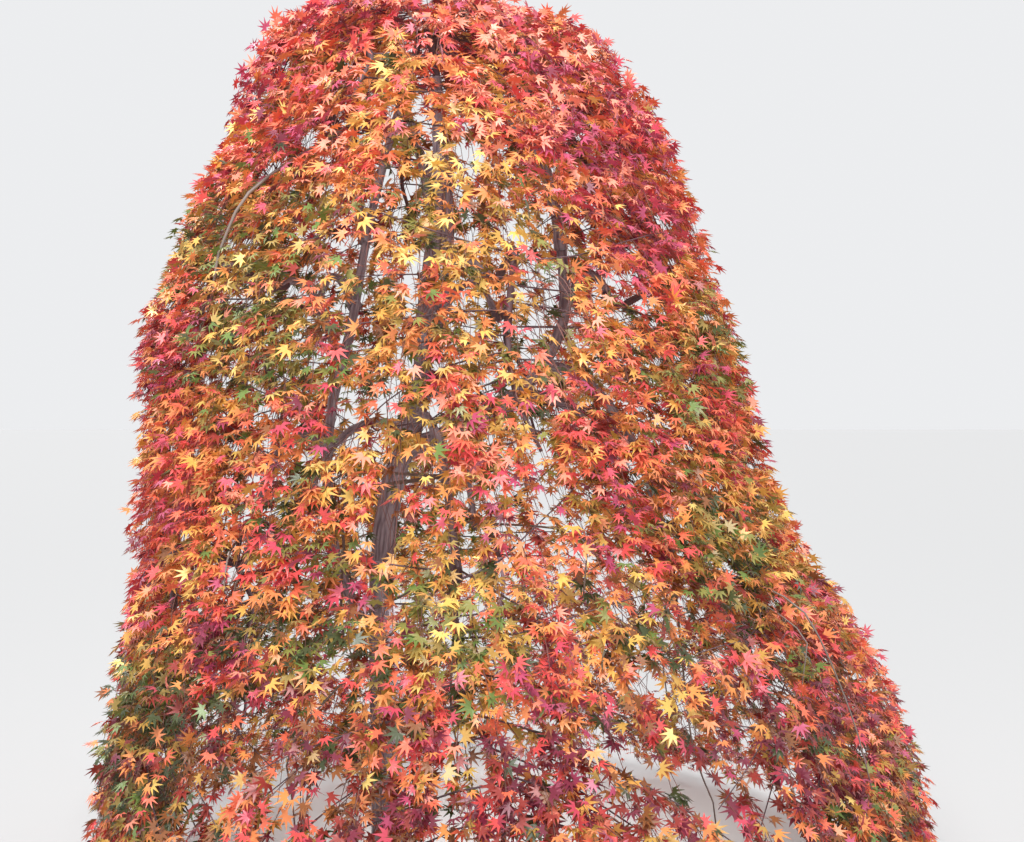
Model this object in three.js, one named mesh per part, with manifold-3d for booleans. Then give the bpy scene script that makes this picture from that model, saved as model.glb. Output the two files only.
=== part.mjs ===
// A weeping Japanese maple in autumn leaf. One trunk and its leaders rise to the crest, boughs arch out from
// them, and foliage hangs from the boughs to the ground as a bell-shaped curtain round an open space.
// Millimetres, +Z up, the ground at Z = 0, origin at the middle of the flat cut under the trunk.
// +X is to the right and +Y to the back of the tree as it is usually seen.
import * as THREE from "three";
import { mergeVertices } from "three/addons/utils/BufferGeometryUtils.js";
import Module from "manifold-3d";

const wasm = await Module();
wasm.setup();

// Driving sizes of the crown
const HEIGHT = 3150; // of the shell the crown fills
const GROUND_CLEARANCE = 45; // from the ground to the lowest leaf tips
const CURTAIN = 340; // thickness of the hanging foliage
const DEPTH_SHARE = 0.95; // the crown's depth front to back against its width
const GAP = 0.3; // between solids that meet
const SPACE_MARGIN = 5; // from a mass to the edge of its own space

// The crown's outline, as radius and height from the crest down to the hem
const OUTLINE = [
  [0, HEIGHT],
  [310, 3075],
  [640, 2850],
  [820, 2480],
  [1010, 1900],
  [1110, 1260],
  [1260, 830],
  [1380, 450],
  [1405, GROUND_CLEARANCE],
];

// How far the middle of the crown stands off from the trunk's foot to the right, by height
const LEAN = [
  [0, 440],
  [450, 400],
  [850, 355],
  [1260, 245],
  [1900, 165],
  [2600, 185],
  [HEIGHT, 110],
];

// The trunk's radius by height, with a foot that flares into five buttresses
const TRUNK_RADII = [
  [0, 104],
  [85, 76],
  [250, 59],
  [1000, 45],
  [1560, 37],
  [2120, 26],
  [HEIGHT, 11],
];
const BUTTRESSES = 5;
const BUTTRESS_SHARE = 0.16;
const BUTTRESS_HEIGHT = 200;

// A leader leaves the trunk at a height, swings through its way points and ends under its own crest mass
const LEADERS = [
  {
    name: "left_leader",
    from: 820,
    angle: Math.PI,
    foot: 21,
    way: [[-130, -50, 980], [-196, -95, 1280], [-188, -100, 1640], [-118, -60, 1960], [-60, -20, 2340]],
  },
  {
    name: "right_leader",
    from: 1500,
    angle: 0,
    foot: 27,
    way: [[250, 0, 1585], [450, -15, 1700], [585, -30, 1900], [585, -20, 2220], [500, 0, 2540]],
  },
  {
    name: "back_leader",
    from: 1760,
    angle: Math.PI / 2,
    foot: 21,
    way: [[140, 100, 1880], [180, 205, 2080], [190, 235, 2400]],
  },
];

// The tiers of foliage below the crest, between two heights. The first mass is centred on start degrees,
// counted from +X towards +Y. limbs gives, for each mass round the tier, the limb its bough leaves and the
// height where it does. rise is how high the bough arches.
const TIERS = [
  {
    name: "shoulder",
    top: 2870,
    low: 2150,
    start: 36,
    rise: 60,
    foot: 17,
    leafScale: 0.85,
    limbs: [
      ["right_leader", 2330],
      ["back_leader", 2230],
      ["left_leader", 2210],
      ["trunk", 2240],
      ["right_leader", 2190],
    ],
  },
  {
    name: "waist",
    top: 2150,
    low: 1290,
    start: 0,
    rise: 110,
    foot: 18,
    leafScale: 0.95,
    limbs: [
      ["right_leader", 1960],
      ["back_leader", 2000],
      ["left_leader", 1990],
      ["left_leader", 1780],
      ["trunk", 1930],
    ],
  },
  {
    name: "skirt",
    top: 1290,
    low: 0,
    start: 30,
    rise: 190,
    foot: 20,
    leafScale: 1,
    split: true,
    limbs: [
      ["right_leader", 1680],
      ["trunk", 1700],
      ["trunk", 1560],
      ["left_leader", 1500],
      ["trunk", 1590],
      ["right_leader", 1790],
    ],
  },
];
const CREST = {
  low: 2870,
  enterRun: 60,
  leafScale: 0.62,
  limbs: [
    ["right", "right_leader"],
    ["back", "back_leader"],
    ["left", "left_leader"],
    ["front", "trunk"],
  ],
};
const LIMB_TIP = 14; // radius where a limb enters its mass
const ENTER = 20; // from the top of a tier down to where its stems start
const LAP = 140; // by which each tier hangs over the top of the one below, like a shingle
const SIDE_WAVE = 0.04;
const END_WAVE = 40;

// Sizes of the sprays. Each flat leaf solid stands for a spray of some hundred real leaves.
const LEAF_LENGTH = 360;
const LEAF_WIDTH_SHARE = 0.8;
const LEAF_THICKNESS_SHARE = 1 / 20;
const LEAF_MIDDLE = 0.36; // where along its length a leaf is thickest
const LEAF_WIDEST = 0.44;
const LEAF_ROOT = 3; // how far a leaf's root runs past the middle of its twig
const LEAF_TRIES = [1, 1, 0.95, 0.9, 0.85, 0.8, 0.74, 0.68, 0.62]; // lengths tried where a leaf hangs
const LEAF_TURN = 0.5; // how far a leaf may turn its face away from straight out
const LEAF_LEAN = 0.3; // how far a leaf's tip leans round the crown, against its fall
const LEAF_PITCH = 270; // between leaves along a twig
const ROW_PITCH = 160; // down the stem, between pairs of side twigs
const TWIG_RADIUS = 9;
const STEM_TIP_RADIUS = 13;
const SEED = 41;

// Rows of twigs hang by turns in an outer and an inner layer. Depths in from the crown's outer face.
const LAYERS = [
  { twigDepth: 85, tipDepth: 26 },
  { twigDepth: 190, tipDepth: 115 },
];

// Bark and leaf colours
const BARK = new THREE.MeshStandardMaterial({ color: 0x6f625c, roughness: 0.85 });
const TINTS = [0xd8402a, 0xe2632a, 0xe58a2c, 0xd9a437, 0x9c8a35, 0xc42f3f].map(
  (color) => new THREE.MeshStandardMaterial({ color, roughness: 0.6 }),
);

const UP = new THREE.Vector3(0, 0, 1);
const group = new THREE.Group();
const limbs = new Map();

// A repeatable stream of numbers from 0 to 1
function randomFrom(seed) {
  let state = seed >>> 0;
  return () => {
    state = (state + 0x6d2b79f5) >>> 0;
    let t = Math.imul(state ^ (state >>> 15), state | 1);
    t ^= t + Math.imul(t ^ (t >>> 7), t | 61);
    return ((t ^ (t >>> 14)) >>> 0) / 4294967296;
  };
}

// The value of a table of rising [key, value] pairs at a key, in straight stretches
function along(table, key) {
  const i = Math.max(1, table.findIndex(([k]) => k >= key));
  const [[k0, v0], [k1, v1]] = key > table[table.length - 1][0] ? table.slice(-2) : table.slice(i - 1, i + 1);
  return v0 + (v1 - v0) * THREE.MathUtils.clamp((key - k0) / (k1 - k0), 0, 1);
}

// The crown's shell: a smooth profile, turned round the leaning middle line
const PROFILE_STEPS = 48;
const profileCurve = new THREE.CatmullRomCurve3(
  OUTLINE.map(([r, z]) => new THREE.Vector3(r, 0, z)),
  false,
  "centripetal",
);
const profile = profileCurve.getSpacedPoints(PROFILE_STEPS);
const PROFILE_LENGTH = profileCurve.getLength();

// Radius, height and outward normal of the profile at a run down from the crest
function profileAt(run) {
  const t = THREE.MathUtils.clamp(run / PROFILE_LENGTH, 0, 1) * PROFILE_STEPS;
  const i = Math.min(Math.floor(t), PROFILE_STEPS - 1);
  const point = profile[i].clone().lerp(profile[i + 1], t - i);
  const way = profile[i + 1].clone().sub(profile[i]).normalize();
  return { r: point.x, z: point.z, nr: -way.z, nz: way.x };
}

// The run down the profile at which it passes a height
function runAtHeight(z) {
  const i = profile.findIndex((point) => point.z <= z);
  const share = (profile[i - 1].z - z) / (profile[i - 1].z - profile[i].z);
  return ((i - 1 + share) / PROFILE_STEPS) * PROFILE_LENGTH;
}

// The crown bulges and draws in a little as it goes round
function bulge(angle, z) {
  return 1 + 0.03 * Math.sin(5 * angle + 0.8) * Math.sin(z / 520) + 0.015 * Math.sin(3 * angle + z / 400);
}

// A point in the curtain: angle round the crown, run down it, and depth in from its outer face
function shellPoint(angle, run, depth) {
  const p = profileAt(run);
  const z = p.z - depth * p.nz;
  const r = (p.r - depth * p.nr) * bulge(angle, z);
  return new THREE.Vector3(along(LEAN, z) + r * Math.cos(angle), r * DEPTH_SHARE * Math.sin(angle), z);
}

// Where a point lies in the curtain
function shellPlace(point) {
  const dx = point.x - along(LEAN, point.z);
  const dy = point.y / DEPTH_SHARE;
  const angle = Math.atan2(dy, dx);
  const here = new THREE.Vector3(Math.hypot(dx, dy) / bulge(angle, point.z), 0, point.z);
  const nearest = new THREE.Vector3();
  let best = { distance: Infinity };
  for (let i = 0; i < PROFILE_STEPS; i++) {
    const stretch = new THREE.Line3(profile[i], profile[i + 1]);
    const share = stretch.closestPointToPointParameter(here, true);
    stretch.at(share, nearest);
    const distance = nearest.distanceTo(here);
    if (distance < best.distance) best = { distance, step: i + share };
  }
  const run = (best.step / PROFILE_STEPS) * PROFILE_LENGTH;
  const { r, z, nr, nz } = profileAt(run);
  const outside = (here.x - r) * nr + (here.z - z) * nz > 0;
  return { angle, run, depth: outside ? -best.distance : best.distance };
}

// The directions at a place in the curtain: down its face, round the crown and outward
function shellWays({ angle, run, depth }) {
  const here = shellPoint(angle, run, depth);
  const down = shellPoint(angle, run + 60, depth).sub(here).normalize();
  const round = shellPoint(angle + 0.05, run, depth).sub(here).normalize();
  const outward = new THREE.Vector3().crossVectors(down, round).normalize();
  return { outward, down, round };
}

// A three.js geometry as a closed manifold solid, and back
function solidOf(geometry) {
  const merged = mergeVertices(geometry, 1e-3);
  return new wasm.Manifold(
    new wasm.Mesh({
      numProp: 3,
      vertProperties: new Float32Array(merged.attributes.position.array),
      triVerts: new Uint32Array(merged.index.array),
    }),
  );
}

function geometryOf(solid) {
  const mesh = solid.getMesh();
  const geometry = new THREE.BufferGeometry();
  geometry.setAttribute("position", new THREE.BufferAttribute(mesh.vertProperties, 3));
  geometry.setIndex(new THREE.BufferAttribute(mesh.triVerts, 1));
  return geometry;
}

// The largest body of a solid, without loose scraps or sealed hollows
function largestBody(solid) {
  return solid.decompose().sort((a, b) => b.volume() - a.volume())[0];
}

function addNode(name, solid, material) {
  const mesh = new THREE.Mesh(geometryOf(solid), material);
  mesh.name = name;
  group.add(mesh);
}

// The faces of a tube of rings, each of as many corners as it has sides, with flat ends
function tubeFaces(rings, sides) {
  const faces = [];
  for (let i = 0; i < rings - 1; i++) {
    for (let j = 0; j < sides; j++) {
      const a = i * sides + j;
      const b = i * sides + ((j + 1) % sides);
      faces.push(a, b, b + sides, a, b + sides, a + sides);
    }
  }
  const end = (rings - 1) * sides;
  for (let j = 1; j < sides - 1; j++) {
    faces.push(0, j + 1, j, end, end + j, end + j + 1);
  }
  return faces;
}

// A tapering limb along its middle points. One of its flat sides looks towards a direction at the start.
function limbSolid(centres, radiusAt, sides, towards) {
  const last = centres.length - 1;
  const points = [];
  const normal = towards.clone();
  centres.forEach((centre, i) => {
    const tangent = centres[Math.min(i + 1, last)].clone().sub(centres[Math.max(i - 1, 0)]).normalize();
    normal.addScaledVector(tangent, -normal.dot(tangent)).normalize();
    const across = new THREE.Vector3().crossVectors(tangent, normal);
    for (let j = 0; j < sides; j++) {
      const angle = ((2 * j + 1) * Math.PI) / sides;
      const radius = radiusAt(i / last, angle, centre);
      const corner = centre.clone().addScaledVector(normal, radius * Math.cos(angle));
      points.push(corner.addScaledVector(across, radius * Math.sin(angle)));
    }
  });
  const geometry = new THREE.BufferGeometry().setFromPoints(points);
  geometry.setIndex(tubeFaces(centres.length, sides));
  return solidOf(geometry);
}

function spacedPoints(points, segments) {
  return new THREE.CatmullRomCurve3(points, false, "centripetal").getSpacedPoints(segments);
}

// Adds a limb and keeps it for later: its middle points, the direction and radius of its tip, its solid, and
// the same solid grown by the gap. Its foot is cut clear of the limb it leaves.
function addLimb(name, centres, radiusAt, sides, parent) {
  const last = centres.length - 1;
  const way = centres[last].clone().sub(centres[last - 1]).normalize();
  const towards = Math.abs(centres[1].z - centres[0].z) > 60 ? new THREE.Vector3(1, 0, 0) : UP;
  const full = limbSolid(centres, radiusAt, sides, towards);
  const grown = limbSolid(centres, (...place) => radiusAt(...place) + GAP, sides, towards);
  const solid = parent ? largestBody(full.subtract(limbs.get(parent).grown)) : full;
  limbs.set(name, { centres, way, solid, grown, tipRadius: radiusAt(1, 0, centres[last]) });
  addNode(name, solid, BARK);
}

// The first two middle points of whatever goes on from a limb's tip
function goOnFrom(name, length) {
  const { centres, way } = limbs.get(name);
  const start = centres[centres.length - 1].clone().addScaledVector(way, GAP);
  return [start, start.clone().addScaledVector(way, length)];
}

function limbPointAt(name, z) {
  const { centres } = limbs.get(name);
  const i = centres.findIndex((point) => point.z > z);
  const share = (z - centres[i - 1].z) / (centres[i].z - centres[i - 1].z);
  return centres[i - 1].clone().lerp(centres[i], share);
}

// The trunk stands upright at its foot, leans back to the left and then bends to the right above the fork
function makeTrunk() {
  const foot = [new THREE.Vector3(0, 0, 0), new THREE.Vector3(0, 0, 85)];
  const way = [
    new THREE.Vector3(-4, 1, 250),
    new THREE.Vector3(-22, 4, 620),
    new THREE.Vector3(-24, 0, 1180),
    new THREE.Vector3(22, -6, 1440),
    new THREE.Vector3(104, -16, 1660),
    new THREE.Vector3(122, -60, 1980),
    new THREE.Vector3(172, -112, 2350),
    shellPoint(-Math.PI / 2, 90, CURTAIN + 20),
  ];
  const radiusAt = (t, angle, centre) => {
    const flare = Math.max(0, 1 - centre.z / BUTTRESS_HEIGHT);
    return along(TRUNK_RADII, centre.z) * (1 + BUTTRESS_SHARE * flare * Math.sin(BUTTRESSES * angle));
  };
  addLimb("trunk", [...foot, ...spacedPoints(way, 11)], radiusAt, 15);
}

function makeLeaders() {
  for (const { name, from, angle, foot, way } of LEADERS) {
    const points = [
      limbPointAt("trunk", from),
      ...way.map((point) => new THREE.Vector3(...point)),
      shellPoint(angle, 190, CURTAIN + 20),
    ];
    addLimb(name, spacedPoints(points, 7), (t) => foot + (LIMB_TIP - foot) * t, 6, "trunk");
  }
}

// An arching bough from its limb to the place where it enters its mass. Gives the name of the limb that
// enters. A long bough that bends over a wide gap is split at the bend.
function makeBough(name, tier, limb, height, target) {
  const from = limbPointAt(limb, height);
  const reach = target.clone().sub(from);
  const points = [
    from,
    from.clone().addScaledVector(reach, 0.3).addScaledVector(UP, tier.rise * 0.8),
    from.clone().addScaledVector(reach, 0.68).addScaledVector(UP, tier.rise),
    target,
  ];
  const radiusAt = (t) => tier.foot + (LIMB_TIP - tier.foot) * t;
  if (!tier.split) {
    addLimb(name, spacedPoints(points, 5), radiusAt, 5, limb);
    return name;
  }
  const centres = spacedPoints(points, 6);
  addLimb(name, centres.slice(0, 4), (t) => radiusAt(t / 2), 5, limb);
  const hanging = name.replace("bough", "hanging_bough");
  addLimb(hanging, [...goOnFrom(name, 30), ...centres.slice(4)], (t) => radiusAt((1 + t) / 2), 5);
  return hanging;
}

// A mass's own space: a stretch of the curtain between wavy sides. Its upper and lower ends slant through the
// curtain by the lap.
function sideAngle(space, side, run) {
  const edge = (space.index + side) % space.count;
  return space.centre + (side - 0.5) * space.width + SIDE_WAVE * Math.sin(run / 170 + edge * 1.9);
}

function endRun(run, angle, depth) {
  return run + END_WAVE * Math.sin(3 * angle + run / 200) + LAP * (1 - (2 * depth) / CURTAIN);
}

function insideSpace(space, point) {
  const { angle, run, depth } = shellPlace(point);
  if (depth < 0 || depth > CURTAIN || point.z < GROUND_CLEARANCE) return false;
  if (space.topRun > 0 && run < endRun(space.topRun, angle, depth) + SPACE_MARGIN) return false;
  if (space.lowRun < PROFILE_LENGTH && run > endRun(space.lowRun, angle, depth) - SPACE_MARGIN) return false;
  const left = sideAngle(space, 0, run);
  const right = sideAngle(space, 1, run);
  const middle = (left + right) / 2;
  const off = Math.atan2(Math.sin(angle - middle), Math.cos(angle - middle));
  const p = profileAt(run);
  const margin = SPACE_MARGIN / Math.max(p.r - depth * p.nr, 1);
  return Math.abs(off) < (right - left) / 2 - margin;
}

function clearOf(solid, others) {
  return others.every((other) => solid.minGap(other, 2) > 1);
}

function clearOfLimbs(solid) {
  return clearOf(solid, [...limbs.values()].map((limb) => limb.solid));
}

// The corners of a leaf solid, a thin kite of eight faces that is thickest near its middle
function leafCorners(root, way, face, length) {
  const side = new THREE.Vector3().crossVectors(way, face).normalize();
  const start = root.clone().addScaledVector(way, -LEAF_ROOT);
  const at = (x, y, lift) =>
    start.clone()
      .addScaledVector(side, x * LEAF_WIDTH_SHARE * length)
      .addScaledVector(way, y * length)
      .addScaledVector(face, lift * LEAF_THICKNESS_SHARE * length);
  return [
    at(0, 0, 0),
    at(0.5, LEAF_WIDEST, 0),
    at(0, 1, 0),
    at(-0.5, LEAF_WIDEST, 0),
    at(0, LEAF_MIDDLE, 0.5),
    at(0, LEAF_MIDDLE, -0.5),
  ];
}

function leafSolid(corners) {
  const geometry = new THREE.BufferGeometry().setFromPoints(corners);
  const faces = [];
  for (let i = 0; i < 4; i++) {
    const next = (i + 1) % 4;
    faces.push(i, next, 4, next, i, 5);
  }
  geometry.setIndex(faces);
  return solidOf(geometry);
}

// Hangs one leaf from a point on a twig, its tip turned towards side and reaching to its layer's outer face.
// A leaf that would leave the space or touch a limb, a leaf or another twig is made smaller, then skipped.
function hangLeaf(mass, layer, twig, root, side) {
  const { space, random, found } = mass;
  const place = shellPlace(root);
  const { outward, down, round } = shellWays(place);
  for (const share of LEAF_TRIES) {
    const length = LEAF_LENGTH * space.leafScale * share * (0.94 + 0.12 * random());
    const tipDepth = layer.tipDepth + 25 * random() + 80 * (1 - share);
    const lift = THREE.MathUtils.clamp((place.depth - tipDepth) / length, 0.06, 0.6);
    const way = down.clone()
      .addScaledVector(round, side * LEAF_LEAN + LEAF_LEAN * (random() - 0.5))
      .normalize()
      .multiplyScalar(Math.sqrt(1 - lift * lift))
      .addScaledVector(outward, lift);
    const face = outward.clone().addScaledVector(round, LEAF_TURN * (random() - 0.5));
    face.addScaledVector(way, -face.dot(way)).normalize();
    const corners = leafCorners(root, way, face, length);
    if (!corners.every((corner) => insideSpace(space, corner))) continue;
    const solid = leafSolid(corners);
    if (clearOf(solid, found.filter((other) => other !== twig)) && clearOfLimbs(solid)) {
      found.push(solid);
      return;
    }
  }
}

// A side twig arches away from the stem round the crown and droops, with leaves hanging all along it. One
// that would leave the space or touch anything but the stem is made shorter, then skipped.
function growTwig(mass, layer, root, side, reach, droop) {
  const { space, random, found } = mass;
  const from = shellPlace(root);
  const turn = (side * reach) / Math.max(profileAt(from.run).r, 260);
  const tipDepth = layer.twigDepth + 20 * random();
  const pointAt = (t) =>
    shellPoint(
      from.angle + turn * t,
      from.run + reach * droop * (0.25 * t + 0.75 * t * t),
      from.depth + (tipDepth - from.depth) * t,
    );
  const centres = reach > 330 ? [root, pointAt(0.5), pointAt(1)] : [root, pointAt(1)];
  const { outward, down } = shellWays(from);
  const solid = limbSolid(
    centres,
    (t) => TWIG_RADIUS * (1 - 0.2 * t),
    3,
    down.addScaledVector(outward, 0.3),
  );
  const fits = centres.slice(1).every((point) => insideSpace(space, point));
  if (!fits || !clearOf(solid, found.slice(1)) || !clearOfLimbs(solid)) {
    if (reach > 120) growTwig(mass, layer, root, side, reach * 0.82, droop);
    return;
  }
  found.push(solid);
  const segments = centres.length - 1;
  const count = Math.max(1, Math.round(reach / (LEAF_PITCH * space.leafScale) + 0.2));
  for (let i = count; i > 0; i--) {
    const t = (segments * 0.95 * (i - 0.2 * random())) / count;
    const k = Math.min(Math.floor(t), segments - 1);
    const share = THREE.MathUtils.clamp(t - k, 0.12, 0.92);
    hangLeaf(mass, layer, solid, centres[k].clone().lerp(centres[k + 1], share), side * 0.4);
  }
}

// The stem's middle points, from its limb's tip out to the curtain and down the middle of its space
function stemCentres(space, limb, rows, random) {
  const firstRun = space.enterRun + 20;
  const lastRun = space.lowRun - LEAF_LENGTH * space.leafScale * 0.72;
  const centres = goOnFrom(limb, 30);
  for (let i = 0; i <= rows; i++) {
    const run = firstRun + ((lastRun - firstRun) * i) / rows;
    const middle = (sideAngle(space, 0, run) + sideAngle(space, 1, run)) / 2;
    const sway = ((random() - 0.5) * 90) / Math.max(profileAt(run).r, 300);
    centres.push(shellPoint(middle + sway, run, 125 + 30 * random()));
  }
  return centres;
}

// One mass of foliage on one stem, which goes on from its limb's tip, with rows of side twigs and leaves
function makeMass(space, limb, index) {
  const random = randomFrom(SEED + index * 7919);
  const fall = space.lowRun - space.enterRun - LEAF_LENGTH * space.leafScale * 0.72;
  const rows = Math.max(2, Math.round(fall / (ROW_PITCH * space.leafScale)));
  const centres = stemCentres(space, limb, rows, random);
  const { tipRadius } = limbs.get(limb);
  const { outward } = shellWays({ angle: space.centre, run: space.enterRun, depth: CURTAIN });
  const stem = limbSolid(centres, (t) => tipRadius + (STEM_TIP_RADIUS - tipRadius) * t, 4, outward);
  const mass = { space, random, found: [stem] };
  const onStem = (i, share) => centres[i].clone().lerp(centres[i + 1], share);
  for (let row = rows - 1; row >= 0; row--) {
    const layer = LAYERS[(rows - 1 - row) % LAYERS.length];
    const first = row % 2 === 0 ? -1 : 1;
    const droop = row === 0 ? 0.08 : 0.36;
    const { run } = shellPlace(centres[row + 2]);
    const halfWidth = (profileAt(run).r * (sideAngle(space, 1, run) - sideAngle(space, 0, run))) / 2;
    for (const [side, share] of [[first, 0.5], [-first, 0.12]]) {
      const reach = halfWidth - LEAF_LENGTH * space.leafScale * (0.4 + 0.1 * random());
      growTwig(mass, layer, onStem(row + 2, share), side, reach, droop);
    }
    hangLeaf(mass, layer, stem, onStem(row + 2, 0.8), first * random());
  }
  addNode(space.name, largestBody(wasm.Manifold.union(mass.found)), TINTS[index % TINTS.length]);
}

// The spaces of all the masses, each with the limb that enters it
function layOutCrown() {
  const spaces = CREST.limbs.map(([side, limb], index) => ({
    name: `${side}_crest_foliage`,
    index,
    count: CREST.limbs.length,
    centre: (index * Math.PI) / 2,
    width: Math.PI / 2,
    topRun: 0,
    enterRun: CREST.enterRun,
    lowRun: runAtHeight(CREST.low),
    leafScale: CREST.leafScale,
    limb,
  }));
  for (const tier of TIERS) {
    const topRun = runAtHeight(tier.top);
    const count = tier.limbs.length;
    tier.limbs.forEach(([limb, height], index) => {
      const centre = THREE.MathUtils.degToRad(tier.start + (360 / count) * index);
      const target = shellPoint(centre, topRun + ENTER, CURTAIN + 15);
      spaces.push({
        name: `${tier.name}_foliage_${index + 1}`,
        index,
        count,
        centre,
        width: (2 * Math.PI) / count,
        topRun,
        enterRun: topRun + ENTER,
        lowRun: tier.low > 0 ? runAtHeight(tier.low) : PROFILE_LENGTH,
        leafScale: tier.leafScale,
        limb: makeBough(`${tier.name}_bough_${index + 1}`, tier, limb, height, target),
      });
    });
  }
  return spaces;
}

makeTrunk();
makeLeaders();
layOutCrown().forEach((space, index) => makeMass(space, space.limb, index));

export default group;
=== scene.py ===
"""A weeping Japanese maple in autumn leaf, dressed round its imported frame.

Bark with relief replaces the trunk, the leaders and the boughs. Each mass of foliage is grown again from its
limb by the rule of the part's source, and carried on to hanging shoots, leaf stalks and leaves.
Metres, +Z up, the ground at Z = 0, the viewer of the photograph on the -Y side.
"""

import math

import bpy
import numpy as np
from bpy.props import EnumProperty, FloatProperty, FloatVectorProperty, IntProperty, PointerProperty
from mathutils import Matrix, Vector, noise


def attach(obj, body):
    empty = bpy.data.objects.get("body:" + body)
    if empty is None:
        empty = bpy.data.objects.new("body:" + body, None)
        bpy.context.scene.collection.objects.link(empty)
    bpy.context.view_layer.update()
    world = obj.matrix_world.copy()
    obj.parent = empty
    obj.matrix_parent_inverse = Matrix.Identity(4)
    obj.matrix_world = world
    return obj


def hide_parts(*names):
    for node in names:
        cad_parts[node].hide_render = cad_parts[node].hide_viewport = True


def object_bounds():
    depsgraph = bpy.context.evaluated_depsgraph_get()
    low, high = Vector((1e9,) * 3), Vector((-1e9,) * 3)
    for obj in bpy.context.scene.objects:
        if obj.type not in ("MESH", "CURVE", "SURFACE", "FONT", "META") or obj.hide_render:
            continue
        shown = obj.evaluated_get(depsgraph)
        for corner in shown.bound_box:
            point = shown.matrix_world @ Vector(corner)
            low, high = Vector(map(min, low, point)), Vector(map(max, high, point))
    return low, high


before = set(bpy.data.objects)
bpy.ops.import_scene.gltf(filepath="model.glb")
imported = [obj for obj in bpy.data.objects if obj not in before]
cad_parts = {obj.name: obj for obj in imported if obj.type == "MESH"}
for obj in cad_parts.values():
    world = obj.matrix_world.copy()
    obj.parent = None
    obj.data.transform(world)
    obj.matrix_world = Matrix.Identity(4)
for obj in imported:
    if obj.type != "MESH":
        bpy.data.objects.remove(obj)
CAD_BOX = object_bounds()

bl_info = {
    "name": "Weeping maple",
    "version": (1, 0, 0),
    "blender": (4, 5, 0),
    "location": "View3D > Sidebar > Maple",
    "description": "Grows a weeping Japanese maple in autumn leaf round its packed frame",
    "category": "Object",
}

# The crown's outline, as radius and height from the crest down to the hem
OUTLINE = (
    (0, 3.15),
    (0.31, 3.075),
    (0.64, 2.85),
    (0.82, 2.48),
    (1.01, 1.9),
    (1.11, 1.26),
    (1.26, 0.83),
    (1.38, 0.45),
    (1.405, 0.045),
)
PROFILE_STEPS = 48

# How far the middle of the crown stands off from the trunk's foot to the right, by height
LEAN = ((0, 0.44), (0.45, 0.4), (0.85, 0.355), (1.26, 0.245), (1.9, 0.165), (2.6, 0.185), (3.15, 0.11))

# Above this height the crest is pressed down to a share of its rise, by distance to the right of the foot
DOME_HEIGHT = 2.85
DOME_SHARES = ((0.15, 0.66), (0.5, 0.4))

# How far the curtain's outer face draws in, by height, on the left and on the right
LEFT_TRIM = (
    (1.05, 0),
    (1.3, 0.02),
    (1.6, 0.06),
    (1.9, 0.045),
    (2.25, 0.06),
    (2.5, 0.08),
    (2.7, 0.045),
    (2.9, 0.03),
)
RIGHT_TRIM = ((2.3, 0), (2.68, 0.03), (2.85, 0.045))

# The trunk's radius by height. Its root flare: height, number of buttresses and how far they stand out, as a
# share of the radius
TRUNK_RADII = (
    (0, 0.104),
    (0.085, 0.076),
    (0.25, 0.059),
    (1, 0.045),
    (1.56, 0.037),
    (2.12, 0.026),
    (3.15, 0.011),
)
FLARE_HEIGHT = 0.2
BUTTRESSES = 5
BUTTRESS_SHARE = 0.16

# The trunk's foot, and its way above that
TRUNK_FOOT = ((0, 0, 0), (0, 0, 0.085))
TRUNK_WAY = (
    (-0.004, 0.001, 0.25),
    (-0.022, 0.004, 0.62),
    (-0.024, 0, 1.18),
    (0.022, -0.006, 1.44),
    (0.104, -0.016, 1.66),
    (0.122, -0.06, 1.98),
    (0.172, -0.112, 2.35),
)

# A leader leaves the trunk at a height, swings through its way points and ends under its own crest mass
LEADERS = (
    {
        "name": "left_leader",
        "from": 0.82,
        "angle": math.pi,
        "foot": 0.021,
        "way": (
            (-0.13, -0.05, 0.98),
            (-0.196, -0.095, 1.28),
            (-0.188, -0.1, 1.64),
            (-0.118, -0.06, 1.96),
            (-0.06, -0.02, 2.34),
        ),
    },
    {
        "name": "right_leader",
        "from": 1.5,
        "angle": 0,
        "foot": 0.027,
        "way": (
            (0.25, 0, 1.585),
            (0.45, -0.015, 1.7),
            (0.585, -0.03, 1.9),
            (0.585, -0.02, 2.22),
            (0.5, 0, 2.54),
        ),
    },
    {
        "name": "back_leader",
        "from": 1.76,
        "angle": math.pi / 2,
        "foot": 0.021,
        "way": ((0.14, 0.1, 1.88), (0.18, 0.205, 2.08), (0.19, 0.235, 2.4)),
    },
)

# The tiers of foliage below the crest, with the limb that each bough leaves and the height where it does
TIERS = (
    {
        "name": "shoulder",
        "top": 2.87,
        "low": 2.15,
        "start": 36,
        "rise": 0.06,
        "foot": 0.017,
        "leaf_scale": 0.85,
        "pitch_scale": 1.0,
        "limbs": (
            ("right_leader", 2.33),
            ("back_leader", 2.23),
            ("left_leader", 2.21),
            ("trunk", 2.24),
            ("right_leader", 2.19),
        ),
    },
    {
        "name": "waist",
        "top": 2.15,
        "low": 1.29,
        "start": 0,
        "rise": 0.11,
        "foot": 0.018,
        "leaf_scale": 0.95,
        "pitch_scale": 1.02,
        "limbs": (
            ("right_leader", 1.96),
            ("back_leader", 2.0),
            ("left_leader", 1.99),
            ("left_leader", 1.78),
            ("trunk", 1.93),
        ),
    },
    {
        "name": "skirt",
        "top": 1.29,
        "low": 0,
        "start": 30,
        "rise": 0.19,
        "foot": 0.02,
        "leaf_scale": 1,
        "pitch_scale": 0.86,
        "limbs": (
            ("right_leader", 1.68),
            ("trunk", 1.7),
            ("trunk", 1.56),
            ("left_leader", 1.5),
            ("trunk", 1.59),
            ("right_leader", 1.79),
        ),
    },
)

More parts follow.
